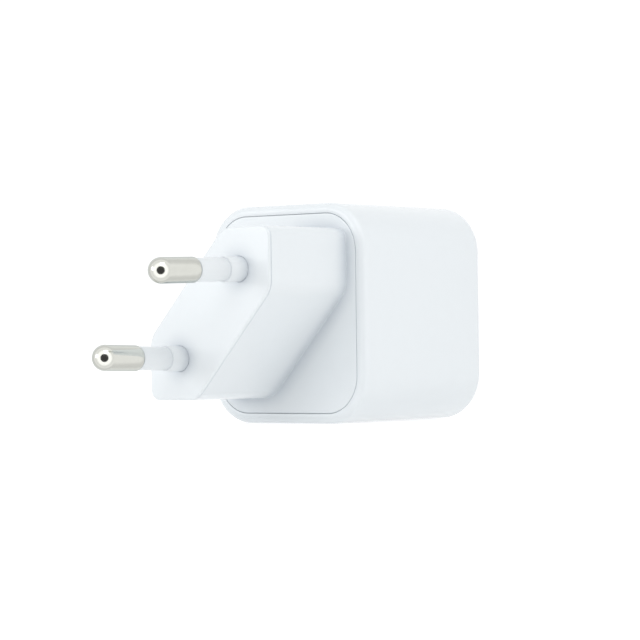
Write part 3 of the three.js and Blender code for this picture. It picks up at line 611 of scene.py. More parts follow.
def makeSleeve(side, name, node):
    s = pinSizes
    bore = s["neck"] / 2 + 0.05 * mm
    front = s["bare"] - s["length"] + 0.06 * mm
    sleeve, collar = s["sleeve"] / 2, s["collar"] / 2
    collarY = -s["collarLength"]
    groove = sleeve - 0.07 * mm  # a fine dip just in front of the collar
    flange, flangeFront = s["flange"] / 2, sleeveFlangeY - s["sleeveFlange"]
    profile = [(bore, front), (sleeve - 0.15 * mm, front), (sleeve - 0.04 * mm, front + 0.04 * mm)]
    profile += [(sleeve, front + 0.15 * mm), (sleeve, collarY - 0.3 * mm), (groove, collarY - 0.16 * mm)]
    profile += [(groove, collarY - 0.06 * mm), (collar - 0.12 * mm, collarY)]
    profile += [(collar - 0.03 * mm, collarY + 0.04 * mm), (collar, collarY + 0.14 * mm)]
    profile += [(collar, flangeFront), (flange, flangeFront), (flange, sleeveFlangeY), (bore, sleeveFlangeY)]
    return makeTurned(name, profile, pinFrame(side), sleevePlastic, [node], closed=True)


for side, label in ((1, "upper"), (-1, "lower")):
    makePin(side, label + "Pin", label + "_pin")
    makeSleeve(side, label + "PinSleeve", label + "_pin_sleeve")
print("pins made")


# ---- Meshes from node trees, for what repeats or follows a path ----

def startTree(name, inputs):
    # a geometry tree with named number inputs; a whole number makes an integer input
    tree = bpy.data.node_groups.new(name, "GeometryNodeTree")
    tree.interface.new_socket("Geometry", in_out="INPUT", socket_type="NodeSocketGeometry")
    tree.interface.new_socket("Geometry", in_out="OUTPUT", socket_type="NodeSocketGeometry")
    tree.interface.new_socket("Material", in_out="INPUT", socket_type="NodeSocketMaterial")
    for label, value in inputs.items():
        kind = "Int" if isinstance(value, int) else "Float"
        socket = tree.interface.new_socket(label, in_out="INPUT", socket_type="NodeSocket" + kind)
        socket.default_value = value
    return tree, tree.nodes.new("NodeGroupInput").outputs


def endTree(tree, given, geometry):
    whole = addNode(tree, "GeometryNodeRealizeInstances", {"Geometry": geometry}).outputs["Geometry"]
    painted = addNode(tree, "GeometryNodeSetMaterial", {"Geometry": whole, "Material": given["Material"]})
    tree.links.new(painted.outputs["Geometry"], tree.nodes.new("NodeGroupOutput").inputs["Geometry"])
    return tree


def grownMesh(tree, material, values, seed=None):
    # the plain mesh that a tree makes from a seed mesh and its inputs
    mesh = seed or bpy.data.meshes.new(tree.name)
    carrier = bpy.data.objects.new(tree.name, mesh)
    bpy.context.scene.collection.objects.link(carrier)
    modifier = carrier.modifiers.new(tree.name, "NODES")
    modifier.node_group = tree
    values = {**values, "Material": material}
    for item in tree.interface.items_tree:
        if item.in_out == "INPUT" and item.name in values:
            modifier[item.identifier] = values[item.name]
    carrier.update_tag()
    graph = bpy.context.evaluated_depsgraph_get()
    made = bpy.data.meshes.new_from_object(carrier.evaluated_get(graph), depsgraph=graph)
    carrier.modifiers.remove(modifier)
    bpy.data.objects.remove(carrier)
    bpy.data.meshes.remove(mesh)
    return made


def makeRowTree():
    # copies of the seed mesh in a row along Y, and the same row turned half round Z
    tree, given = startTree("row", {"Count": 4, "Pitch": 1.0, "Both Sides": 1.0})
    count = calculate(tree, "SUBTRACT", given["Count"], 1.0)
    start = calculate(tree, "MULTIPLY", calculate(tree, "MULTIPLY", count, given["Pitch"]), -0.5)
    steps = {"Count": given["Count"], "Start Location": vectorFrom(tree, Y=start),
             "Offset": vectorFrom(tree, Y=given["Pitch"])}
    line = addNode(tree, "GeometryNodeMeshLine", steps).outputs["Mesh"]
    copies = {"Points": line, "Instance": given["Geometry"]}
    row = addNode(tree, "GeometryNodeInstanceOnPoints", copies).outputs["Instances"]
    turn = vectorFrom(tree, Z=calculate(tree, "MULTIPLY", given["Both Sides"], math.pi))
    turned = addNode(tree, "GeometryNodeTransform", {"Geometry": row, "Rotation": turn}).outputs["Geometry"]
    both = addNode(tree, "GeometryNodeJoinGeometry")
    for geometry in (row, turned):
        tree.links.new(geometry, both.inputs["Geometry"])
    return endTree(tree, given, both.outputs["Geometry"])


def makeRingWindingTree():
    # a wire wound round the square section of a ring core whose axis is Y, from one angle to another
    sizes = {"Turns": 6.0, "From": 0.3, "To": 2.8, "Middle": 1.0, "Reach": 0.5, "Rise": 0.5, "Wire": 0.1}
    tree, given = startTree("ringWinding", {**sizes, "Points": 200})
    line = addNode(tree, "GeometryNodeCurvePrimitiveLine").outputs["Curve"]
    points = {"Curve": line, "Count": given["Points"]}
    path = addNode(tree, "GeometryNodeResampleCurve", points).outputs["Curve"]
    along = addNode(tree, "GeometryNodeSplineParameter").outputs["Factor"]
    span = calculate(tree, "SUBTRACT", given["To"], given["From"])
    angle = calculate(tree, "MULTIPLY_ADD", along, span, given["From"])
    phase = calculate(tree, "MULTIPLY", calculate(tree, "MULTIPLY", along, given["Turns"]), 2 * math.pi)

    def squared(operation, reach):
        # a sine or cosine cut flat, so that the wire lies on the core's faces and bends at its corners
        wave = calculate(tree, "MULTIPLY", calculate(tree, operation, phase), 1.3)
        limited = calculate(tree, "MAXIMUM", calculate(tree, "MINIMUM", wave, 1.0), -1.0)
        return calculate(tree, "MULTIPLY", limited, reach)

    radius = calculate(tree, "ADD", squared("COSINE", given["Reach"]), given["Middle"])
    position = vectorFrom(tree, X=calculate(tree, "MULTIPLY", radius, calculate(tree, "COSINE", angle)),
                          Y=squared("SINE", given["Rise"]),
                          Z=calculate(tree, "MULTIPLY", radius, calculate(tree, "SINE", angle)))
    wound = addNode(tree, "GeometryNodeSetPosition", {"Geometry": path, "Position": position})
    return endTree(tree, given, wireAlong(tree, wound.outputs["Geometry"], given["Wire"]))


def wireAlong(tree, path, radius, sides=10):
    section = addNode(tree, "GeometryNodeCurvePrimitiveCircle", {"Resolution": sides, "Radius": radius})
    swept = {"Curve": path, "Profile Curve": section.outputs["Curve"], "Fill Caps": True}
    return addNode(tree, "GeometryNodeCurveToMesh", swept).outputs["Mesh"]


def makeSpiralTree():
    # a layer of round wire wound along Z
    tree, given = startTree("spiral", {"Turns": 10.0, "Radius": 1.0, "Length": 1.0, "Wire": 0.1})
    inputs = {"Resolution": 28, "Rotations": given["Turns"], "Start Radius": given["Radius"],
              "End Radius": given["Radius"], "Height": given["Length"]}
    path = addNode(tree, "GeometryNodeCurveSpiral", inputs).outputs["Curve"]
    return endTree(tree, given, wireAlong(tree, path, given["Wire"]))


def makeDotTree():
    # a small cone of solder on every vertex of the seed mesh, along Z of its own frame
    tree, given = startTree("solder", {"Radius": 1.0, "Top": 0.5, "Height": 1.0})
    sizes = {"Vertices": 14, "Radius Bottom": given["Radius"], "Radius Top": given["Top"],
             "Depth": given["Height"]}
    cone = addNode(tree, "GeometryNodeMeshCone", sizes).outputs["Mesh"]
    dots = addNode(tree, "GeometryNodeInstanceOnPoints", {"Points": given["Geometry"], "Instance": cone})
    return endTree(tree, given, dots.outputs["Instances"])


rowTree = makeRowTree()
ringWindingTree = makeRingWindingTree()
spiralTree = makeSpiralTree()
dotTree = makeDotTree()
print("node trees made")


def joinPieces(name, parts, nodes=(), sharpAngle=35):
    # one piece from several meshes, each with its own material
    bm = bmesh.new()
    materials = []
    for mesh, material in parts:
        before = len(bm.faces)
        bm.from_mesh(mesh)
        bm.faces.ensure_lookup_table()
        if material not in materials:
            materials.append(material)
        for face in bm.faces[before:]:
            face.material_index = materials.index(material)
        bpy.data.meshes.remove(mesh)
    piece = makePiece(name, bm, materials[0], nodes, sharpAngle)
    for material in materials[1:]:
        piece.data.materials.append(material)
    return piece


def meshOf(bm, place=None):
    mesh = bpy.data.meshes.new("part")
    if place is not None:
        bmesh.ops.transform(bm, matrix=place, verts=bm.verts)
    bm.to_mesh(mesh)
    bm.free()
    return mesh


def boxMesh(low, high, edge=0.0, place=None):
    bm = bmesh.new()
    addBlock(bm, low, high)
    if edge:
        bmesh.ops.bevel(bm, geom=bm.edges[:], offset=edge, segments=3, affect="EDGES", profile=0.5)
    return meshOf(bm, place)


def roundMesh(profile, place, sides=48):
    # a closed solid of revolution about Y of its place, from (radius, y) pairs that start and end on the axis
    bm = bmesh.new()
    points = [bm.verts.new((radius, y, 0)) for radius, y in profile]
    edges = [bm.edges.new(pair) for pair in zip(points, points[1:])]
    bmesh.ops.spin(bm, geom=points + edges, cent=(0, 0, 0), axis=(0, 1, 0), angle=2 * math.pi, steps=sides)
    bmesh.ops.remove_doubles(bm, verts=bm.verts, dist=1e-7)
    bmesh.ops.recalc_face_normals(bm, faces=bm.faces)
    return meshOf(bm, place)


def stripMesh(path, width, thickness):
    # a flat strip bent along a path of (x, z) points, centred on Y
    bm = bmesh.new()
    points = [Vector(point) for point in path]
    rows = []
    for i, point in enumerate(points):
        before = (point - points[i - 1]).normalized() if i else (points[1] - point).normalized()
        after = (points[i + 1] - point).normalized() if i + 1 < len(points) else before
        across = Vector((-(before + after).y, (before + after).x)).normalized()
        across *= thickness / 2 / max(across.dot(Vector((-before.y, before.x))), 0.5)
        corners = [point + across, point - across]
        section = [(corners[0], -1), (corners[0], 1), (corners[1], 1), (corners[1], -1)]
        rows.append([bm.verts.new((p.x, side * width / 2, p.y)) for p, side in section])
    for lower, upper in zip(rows, rows[1:]):
        for i in range(4):
            bm.faces.new((lower[i], lower[(i + 1) % 4], upper[(i + 1) % 4], upper[i]))
    bm.faces.new(rows[0][::-1])
    bm.faces.new(rows[-1])
    bmesh.ops.recalc_face_normals(bm, faces=bm.faces)
    return meshOf(bm)


# ---- Finishes of the inner pieces ----

waveLength = 0.314  # one band of a wave texture at a scale of 1


def finishedWith(tree, shader, colour, wear, roughness, normal, metallic, coat):
    # the gloss varies with the wear, by three tenths either way
    feed(tree, shader, {
        "Base Color": colour,
        "Roughness": scaledBy(tree, wear, roughness * 0.7, roughness * 1.3),
        "Normal": normal,
        "Metallic": metallic,
        "Coat Weight": coat,
    })


def wornSurface(name, colours, roughness, grain, height, metallic=0.0, stretch=(1, 1, 1), coat=0.0,
                cells=False):
    # two tones in patches over a grain that also stands up as bump; stretch draws the grain out along an axis
    material, tree, shader = startMaterial(name)
    place = ownPlace(tree)
    drawn = stretchedBy(tree, place, stretch)
    if cells:
        inputs = {"Vector": drawn, "Scale": 1 / grain}
        pattern = addNode(tree, "ShaderNodeTexVoronoi", inputs).outputs["Distance"]
    else:
        pattern = noiseAt(tree, drawn, grain, 4.0, 0.6)
    patches = noiseAt(tree, place, 12 * grain, 3.0)
    spread = scaledBy(tree, calculate(tree, "MULTIPLY", pattern, patches), -0.4, 2.2)
    tone = mixColours(tree, spread, *colours)
    finishedWith(tree, shader, tone, patches, roughness, bumpFrom(tree, pattern, height), metallic, coat)
    return material


def bandedSurface(name, colours, roughness, pitch, height, coat):
    # bands across X, such as the laps of a tape or the pleats of a shrunk sleeve
    material, tree, shader = startMaterial(name)
    place = ownPlace(tree)
    inputs = {"Vector": place, "Scale": waveLength / pitch, "Distortion": 1.2}
    bands = addNode(tree, "ShaderNodeTexWave", inputs, wave_profile="SAW").outputs["Fac"]
    haze = noiseAt(tree, place, 0.8 * mm, 4.0)
    tone = mixColours(tree, haze, *colours)
    finishedWith(tree, shader, tone, haze, roughness, bumpFrom(tree, bands, height), 0.0, coat)
    return material


def boardLaminate(name, mask, copper):
    # green solder mask over copper tracks, with the glass weave just showing through as bump
    material, tree, shader = startMaterial(name)
    place = ownPlace(tree)
    cells = addNode(tree, "ShaderNodeTexVoronoi", {"Vector": place, "Scale": 1 / (2.6 * mm)},
                    feature="DISTANCE_TO_EDGE").outputs["Distance"]
    tracks = scaledBy(tree, cells, -0.6, 22.0)
    weave = [addNode(tree, "ShaderNodeTexWave", {"Vector": place, "Scale": waveLength / (0.5 * mm)},
                     bands_direction=way).outputs["Fac"] for way in ("Y", "Z")]
    cloth = calculate(tree, "MAXIMUM", *weave)
    feed(tree, shader, {
        "Base Color": mixColours(tree, tracks, mask, copper),
        "Roughness": scaledBy(tree, cloth, 0.28, 0.4),
        "Normal": bumpFrom(tree, cloth, 3e-6, 1.0, bumpFrom(tree, tracks, 18e-6)),
        "Coat Weight": 0.3,
    })
    return material


carrierPlastic = mouldedPlastic("carrierPlastic", (0.78, 0.78, 0.74), 0.42, 0.12 * mm, 3e-6)
contactPlastic = mouldedPlastic("contactPlastic", (0.012, 0.012, 0.013), 0.4, 0.05 * mm, 1.5e-6)
bobbinPlastic = mouldedPlastic("bobbinPlastic", (0.02, 0.02, 0.022), 0.5, 0.15 * mm, 4e-6)
springBrass = wornSurface("springBrass", ((0.78, 0.52, 0.2), (0.86, 0.64, 0.3)),
                          0.25, 0.05 * mm, 2e-6, 1.0,
                          (1, 0.08, 1))
contactGold = wornSurface("contactGold", ((0.9, 0.62, 0.24), (0.98, 0.74, 0.36)),
                          0.16, 0.03 * mm, 0.8e-6, 1.0,
                          (1, 0.1, 1))
portSteel = wornSurface("portSteel", ((0.5, 0.5, 0.5), (0.62, 0.62, 0.61)), 0.24, 0.04 * mm, 1.2e-6, 1.0,
                        (1, 0.06, 1))
copperSheet = wornSurface("copperSheet", ((0.72, 0.34, 0.2), (0.86, 0.48, 0.32)),
                          0.3, 0.06 * mm, 2e-6, 1.0,
                          (1, 0.05, 1))
enamelledWire = wornSurface("enamelledWire", ((0.55, 0.18, 0.06), (0.74, 0.3, 0.12)),
                            0.22, 0.3 * mm, 3e-6, 0.9,
                            coat=0.8)
tinnedMetal = wornSurface("tinnedMetal", ((0.58, 0.59, 0.6), (0.7, 0.71, 0.71)),
                          0.28, 0.2 * mm, 5e-6, 1.0)
canAluminium = wornSurface("canAluminium", ((0.7, 0.71, 0.72), (0.8, 0.8, 0.81)),
                           0.3, 0.05 * mm, 2e-6, 1.0,
                           (0.05, 1, 1))
ferrite = wornSurface("ferrite", ((0.022, 0.022, 0.024), (0.05, 0.05, 0.052)),
                      0.6, 0.09 * mm, 6e-6, cells=True)
chipEpoxy = wornSurface("chipEpoxy", ((0.009, 0.009, 0.01), (0.02, 0.02, 0.021)), 0.5, 0.05 * mm, 4e-6)
rubberBung = wornSurface("rubberBung", ((0.01, 0.01, 0.01), (0.02, 0.02, 0.02)), 0.75, 0.12 * mm, 5e-6)
filmCase = wornSurface("filmCase", ((0.55, 0.58, 0.6), (0.64, 0.67, 0.69)), 0.4, 0.1 * mm, 4e-6)
fuseBody = wornSurface("fuseBody", ((0.16, 0.08, 0.035), (0.22, 0.12, 0.06)), 0.38, 0.08 * mm, 3e-6)
discCoating = wornSurface("discCoating", ((0.02, 0.09, 0.34), (0.04, 0.15, 0.46)),
                          0.3, 0.35 * mm, 14e-6, coat=0.5)
thermalPad = wornSurface("thermalPad", ((0.2, 0.22, 0.23), (0.32, 0.34, 0.35)),
                         0.8, 0.12 * mm, 10e-6, cells=True)
insulationFilm = wornSurface("insulationFilm", ((0.012, 0.013, 0.015), (0.03, 0.032, 0.035)),
                             0.3, 2 * mm, 20e-6)
leadJacket = wornSurface("leadJacket", ((0.62, 0.48, 0.05), (0.72, 0.58, 0.09)),
                         0.4, 0.15 * mm, 3e-6, coat=0.2)
windingTape = bandedSurface("windingTape", ((0.75, 0.47, 0.04), (0.85, 0.6, 0.1)),
                            0.3, 2.5 * mm, 40e-6, coat=0.4)
canSleeve = bandedSurface("canSleeve", ((0.012, 0.016, 0.024), (0.025, 0.032, 0.045)),
                          0.22, 3 * mm, 8e-6, coat=0.6)
circuitBoard = boardLaminate("circuitBoard", (0.008, 0.075, 0.03), (0.03, 0.16, 0.06))

nodeFinishes = {
    "pin_carrier": carrierPlastic, "pin_retainer": carrierPlastic,
    "upper_contact_spring": springBrass, "lower_contact_spring": springBrass,
    "choke_core": ferrite, "transformer_core_base": ferrite, "transformer_core_top": ferrite,
    "filter_capacitor": filmCase, "fuse": fuseBody, "safety_capacitor": discCoating,
    "transformer_bobbin": bobbinPlastic, "thermal_pad": thermalPad, "heat_spreader": copperSheet,
    "input_board": circuitBoard, "main_board": circuitBoard, "port_board": circuitBoard,
    "insulation_sheet": insulationFilm,
    "secondary_lead_upper": leadJacket, "secondary_lead_lower": leadJacket,
}
for node, finish in nodeFinishes.items():
    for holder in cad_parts[node].material_slots:
        holder.material = finish
print("finishes made for", len(nodeFinishes), "kept nodes")


# ---- USB receptacle ----

receptacleSizes = {
    "wall": 0.3 * mm,
    "flare": 0.12 * mm,  # how far the mouth's inner edge is rolled back
    "blockDepth": 2.2 * mm,
    "tongueWidth": 6.69 * mm,
    "tongueThickness": 0.7 * mm,
    "tongueSetback": 1.0 * mm,
    "stepLength": 1.6 * mm,  # the thicker root of the tongue
    "stepRise": 0.22 * mm,
    "contactPitch": 0.5 * mm,
    "contactWidth": 0.26 * mm,
    "contactThickness": 0.05 * mm,
    "contactCount": 12,
    "detentWidth": 0.9 * mm,
    "detentLength": 2.2 * mm,
    "detentDepth": 0.16 * mm,
}
shellLow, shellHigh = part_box("usb_shell")


def loftMesh(rings, closed=False):
    bm = bmesh.new()
    addLoft(bm, rings, closed, capped=not closed)
    bmesh.ops.recalc_face_normals(bm, faces=bm.faces)
    return meshOf(bm)


def makePortShell():
    r = receptacleSizes
    back, mouth = shellLow.y, shellHigh.y
    wall, flare = r["wall"], r["flare"]
    tube = [(-wall, back), (-0.04 * mm, back), (0, back + 0.04 * mm), (0, mouth - 0.08 * mm)]
    tube += [(-0.03 * mm, mouth - 0.02 * mm), (-0.1 * mm, mouth), (-wall + flare * 0.8, mouth - 0.02 * mm)]
    tube += [(-wall + flare * 0.2, mouth - flare), (-wall, mouth - 2.2 * flare)]
    parts = [(loftMesh(ringsOf(portOutline, tube), closed=True), portSteel)]
    half = portSizes["width"] / 2
    for side in (-1, 1):
        for legY in (back + 1.2 * mm, back + 5 * mm):
            x0, x1 = sorted((side * (half - wall), side * half))
            low, high = (x0, legY - 0.5 * mm, shellLow.z), (x1, legY + 0.5 * mm, middleZ - 0.3 * mm)
            parts.append((boxMesh(low, high, 0.06 * mm), portSteel))
    detentX, detentY = r["detentWidth"] / 2, r["detentLength"] / 2
    detent = boxMesh((-detentX, -detentY, -r["detentDepth"]), (detentX, detentY, 0), 0.07 * mm)
    detentZ = portSizes["height"] / 2 - wall + 0.03 * mm
    for side in (-1, 1):
        for x in (-2.2 * mm, 2.2 * mm):
            copy = detent.copy()
            place = Vector((x, mouth - 2.6 * mm, middleZ + side * detentZ))
            copy.transform(frameAt(place, (side, 0, 0), (0, 0, side)))
            parts.append((copy, portSteel))
    bpy.data.meshes.remove(detent)
    return joinPieces("portShell", parts, ["usb_shell"])


def makePortTongue():
    r = receptacleSizes
    back, mouth = shellLow.y, shellHigh.y
    inset = -r["wall"] - 0.08 * mm
    rear, front = back + 0.1 * mm, back + r["blockDepth"]
    block = [(inset - 0.05 * mm, rear), (inset, rear + 0.05 * mm), (inset, front - 0.1 * mm),
             (inset - 0.1 * mm, front)]

    def section(size):
        width, thickness = size
        return roundedOutline(rectangleCorners(width, thickness, min(0.15 * mm, thickness / 2.1)), 4)

    width, thickness = r["tongueWidth"], r["tongueThickness"]
    tip = mouth - r["tongueSetback"]
    step = front + r["stepLength"]
    wide, tall = width + 0.5 * mm, thickness + 2 * r["stepRise"]
    root = [((wide, tall), front - 0.4 * mm), ((wide, tall), step - 0.1 * mm),
            ((wide - 0.1 * mm, tall - 0.2 * mm), step)]
    tongue = [((width, thickness), step - 0.3 * mm), ((width, thickness), tip - 0.35 * mm),
              ((width - 0.14 * mm, thickness - 0.16 * mm), tip - 0.1 * mm),
              ((width - 0.4 * mm, thickness - 0.34 * mm), tip)]
    shapes = ((portOutline, block), (section, root), (section, tongue))
    parts = [(loftMesh(ringsOf(outlineAt, profile)), contactPlastic) for outlineAt, profile in shapes]
    return joinPieces("portTongue", parts, ["usb_tongue"])


def makePortContacts():
    # twelve gold strips on each face of the tongue; the row runs across the port
    r = receptacleSizes
    start = shellLow.y + r["blockDepth"] + r["stepLength"] - 0.1 * mm
    end = shellHigh.y - r["tongueSetback"] - 0.5 * mm
    half = (end - start) / 2
    bottom = r["tongueThickness"] / 2 - 0.02 * mm
    low = (-half, -r["contactWidth"] / 2, bottom)
    high = (half, r["contactWidth"] / 2, bottom + r["contactThickness"])
    values = {"Count": r["contactCount"], "Pitch": r["contactPitch"], "Both Sides": 0.0}
    parts = []
    for side in (-1, 1):
        rows = grownMesh(rowTree, contactGold, values, boxMesh(low, high, 0.015 * mm))
        rows.transform(frameAt(Vector((0, (start + end) / 2, middleZ)), (0, 1, 0), (0, 0, side)))
        parts.append((rows, contactGold))
    return joinPieces("portContacts", parts)


makePortShell()
makePortTongue()
makePortContacts()
print("receptacle made")


# ---- Ring core choke windings ----

chokeSizes = {
    "turns": 7.0,
    "opening": math.radians(24),
    "wire": 0.26 * mm,
    "coreHole": 1.9 * mm,
    "leadX": 2.2 * mm,  # the leads' places, from the middle of the core
    "leadZ": 2.3 * mm,
}
chokeLow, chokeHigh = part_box("choke_core")
chokeCentre = (chokeLow + chokeHigh) / 2


def makeChokeWinding(side, name, node):
    c = chokeSizes
    outer = (chokeHigh.x - chokeLow.x) / 2
    clear = c["wire"] + 0.04 * mm
    values = {
        "Turns": c["turns"],
        "From": c["opening"],
        "To": math.pi - c["opening"],
        "Middle": (outer + c["coreHole"]) / 2,
        "Reach": (outer - c["coreHole"]) / 2 + clear,
        "Rise": (chokeHigh.y - chokeLow.y) / 2 + clear,
        "Wire": c["wire"],
        "Points": 260,
    }
    coil = grownMesh(ringWindingTree, enamelledWire, values)
    coil.transform(frameAt(chokeCentre, (side, 0, 0), (0, 0, side)))
    parts = [(coil, enamelledWire)]
    reach = chokeCentre.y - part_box(node)[0].y - clear
    for x in (-1, 1):
        lead = [(0, -reach), (0.24 * mm, -reach), (0.3 * mm, 0.1 * mm - reach), (0.3 * mm, -1.9 * mm),
                (0.24 * mm, -1.8 * mm), (0, -1.8 * mm)]
        place = Matrix.Translation(chokeCentre + Vector((x * c["leadX"], 0, side * c["leadZ"])))
        parts.append((roundMesh(lead, place, 16), tinnedMetal))
    return joinPieces(name, parts, [node])


for side, label in ((1, "upper"), (-1, "lower")):
    makeChokeWinding(side, "chokeWinding" + label.capitalize(), "choke_winding_" + label)
print("choke windings made")


# ---- Transformer winding ----

windingSizes = {"wire": 0.24 * mm, "core": 3.5 * mm}


def makeTransformerWinding():
    # the tape over the primary, and one layer of triple-insulated wire over the tape
    wire, bore = windingSizes["wire"], windingSizes["core"]
    low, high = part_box("transformer_winding")
    centre = (low + high) / 2
    outer = (high.y - low.y) / 2
    half = (high.x - low.x) / 2
    inner = outer - 2 * wire
    tape = [(bore, -half), (inner - 0.1 * mm, -half), (inner, -half + 0.1 * mm), (inner, half - 0.1 * mm),
            (inner - 0.1 * mm, half), (bore, half)]
    along = frameAt(centre, (0, 0, 1), (0, 1, 0))  # Y of this frame lies along X
    parts = [(loftMesh(turnedRings(tape, along, 56), closed=True), windingTape)]
    turns = math.floor((2 * half - 2 * wire) / (2.1 * wire))
    values = {"Turns": float(turns), "Radius": outer - wire, "Length": 2 * half - 2.4 * wire, "Wire": wire}
    coil = grownMesh(spiralTree, leadJacket, values)
    start = centre - Vector((half - 1.2 * wire, 0, 0))
    coil.transform(frameAt(start, (0, 1, 0), (1, 0, 0)))
    parts.append((coil, leadJacket))
    return joinPieces("transformerWinding", parts, ["transformer_winding"])


makeTransformerWinding()
print("transformer winding made")


# ---- Electrolytic capacitors ----

canSizes = {
    "bulk": {"seat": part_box("main_board")[1].x + 0.3 * mm, "pitch": 3.5 * mm},
    "output": {"seat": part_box("port_board")[0].z - 0.4 * mm, "pitch": 2.2 * mm},
    "sleeve": 0.08 * mm,
    "bead": 0.35 * mm,
    "beadHeights": (1.4 * mm, 1.8 * mm, 2.2 * mm),
    "lead": 0.3 * mm,
}


def makeCan(name, node, kind, away, across):
    # away points from the board to the can's far end, across from one lead to the other
    c = canSizes
    low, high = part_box(node)
    away, across = Vector(away), Vector(across)
    axis = max(range(3), key=lambda i: abs(away[i]))
    sideways = 1  # both kinds of can are measured along the charger's length
    radius = (high[sideways] - low[sideways]) / 2
    seat = c[kind]["seat"]
    middle = (low + high) / 2
    middle[axis] = seat
    length = abs((high if away[axis] > 0 else low)[axis] - seat)
    tips = abs((low if away[axis] > 0 else high)[axis] - seat)
    place = frameAt(middle, across, across.cross(away))  # Y of this frame lies along the can
    bead = c["bead"]
    beadStart, beadMiddle, beadEnd = c["beadHeights"]
    can = radius - c["sleeve"]
    inside = can + 0.01 * mm  # the sleeve's own inner radius
    shoulder, crown = length - 0.5 * mm, length - 0.16 * mm
    metal = [(0, 0.5 * mm), (can - 0.3 * mm, 0.5 * mm), (can, 0.7 * mm), (can, beadStart),
             (can - bead, beadMiddle), (can, beadEnd), (can, shoulder), (can - 0.12 * mm, length - 0.2 * mm),
             (can - 0.4 * mm, length - 0.06 * mm), (can - 0.7 * mm, length - 0.06 * mm),
             (can - 0.8 * mm, crown), (0, crown)]
    wrap = [(inside, 0.3 * mm), (radius, 0.3 * mm), (radius, beadStart), (radius - bead, beadMiddle),
            (radius, beadEnd), (radius, shoulder), (radius - 0.14 * mm, crown), (radius - 0.5 * mm, length),
            (radius - 0.9 * mm, length), (radius - 0.9 * mm, length - 0.05 * mm),
            (radius - 0.5 * mm, length - 0.05 * mm), (can - 0.1 * mm, length - 0.2 * mm), (inside, shoulder),
            (inside, beadEnd), (inside - bead, beadMiddle), (inside, beadStart)]
    plug = can - 0.5 * mm
    bung = [(0, 0), (plug - 0.2 * mm, 0), (plug, 0.15 * mm), (plug, 0.7 * mm), (0, 0.7 * mm)]
    parts = [(loftMesh(turnedRings(wrap, place, 56), closed=True), canSleeve),
             (roundMesh(metal, place, 56), canAluminium), (roundMesh(bung, place, 40), rubberBung)]
    # the vent's score lines cross on the far end
    top = length - 0.17 * mm
    for turn in (0, math.pi / 2):
        score = boxMesh((-can * 0.5, top, -0.08 * mm), (can * 0.5, top + 0.05 * mm, 0.08 * mm), 0.02 * mm)
        score.transform(place @ Matrix.Rotation(turn, 4, "Y"))
        parts.append((score, canAluminium))
    thick = c["lead"]
    lead = [(0, -tips), (thick - 0.06 * mm, -tips), (thick, 0.06 * mm - tips), (thick, 0.3 * mm),
            (0, 0.3 * mm)]
    for side in (-1, 1):
        leadPlace = place @ Matrix.Translation((side * c[kind]["pitch"] / 2, 0, 0))
        parts.append((roundMesh(lead, leadPlace, 16), tinnedMetal))
    return joinPieces(name, parts, [node])


for label in ("Front", "Rear"):
    makeCan("bulkCapacitor" + label, "bulk_capacitor_" + label.lower(), "bulk", (1, 0, 0), (0, 0, 1))
for label in ("Near", "Far"):
    makeCan("outputCapacitor" + label, "output_capacitor_" + label.lower(), "output", (0, 0, -1), (1, 0, 0))
print("electrolytic capacitors made")


# ---- Chips ----

# away points from the board to the chip's face; the legs are in rows along the second direction
chipPlans = {
    "bridgeRectifier": {"node": "bridge_rectifier", "away": (0, -1, 0), "along": (0, 0, 1), "legs": 2,
                        "pitch": 2.8 * mm, "legWidth": 0.9 * mm, "reach": 0.8 * mm, "standoff": 0.15 * mm},
    "optoChip": {"node": "optocoupler", "away": (1, 0, 0), "along": (0, 1, 0), "legs": 2,
                 "pitch": 2.54 * mm, "legWidth": 0.5 * mm, "reach": 0.8 * mm, "standoff": 0.15 * mm},
    "switchChip": {"node": "switch_chip", "away": (-1, 0, 0), "along": (0, 1, 0), "legs": 6,
                   "pitch": 1.27 * mm, "legWidth": 0.5 * mm, "reach": 0.0, "standoff": 0.0},
    "rectifierChip": {"node": "rectifier_chip", "away": (0, 0, -1), "along": (0, 1, 0), "legs": 4,
                      "pitch": 0.65 * mm, "legWidth": 0.35 * mm, "reach": 0.0, "standoff": 0.0},
    "protocolChip": {"node": "protocol_chip", "away": (0, 0, -1), "along": (0, 1, 0), "legs": 5,
                     "pitch": 0.5 * mm, "legWidth": 0.25 * mm, "reach": 0.0, "standoff": 0.0},
}


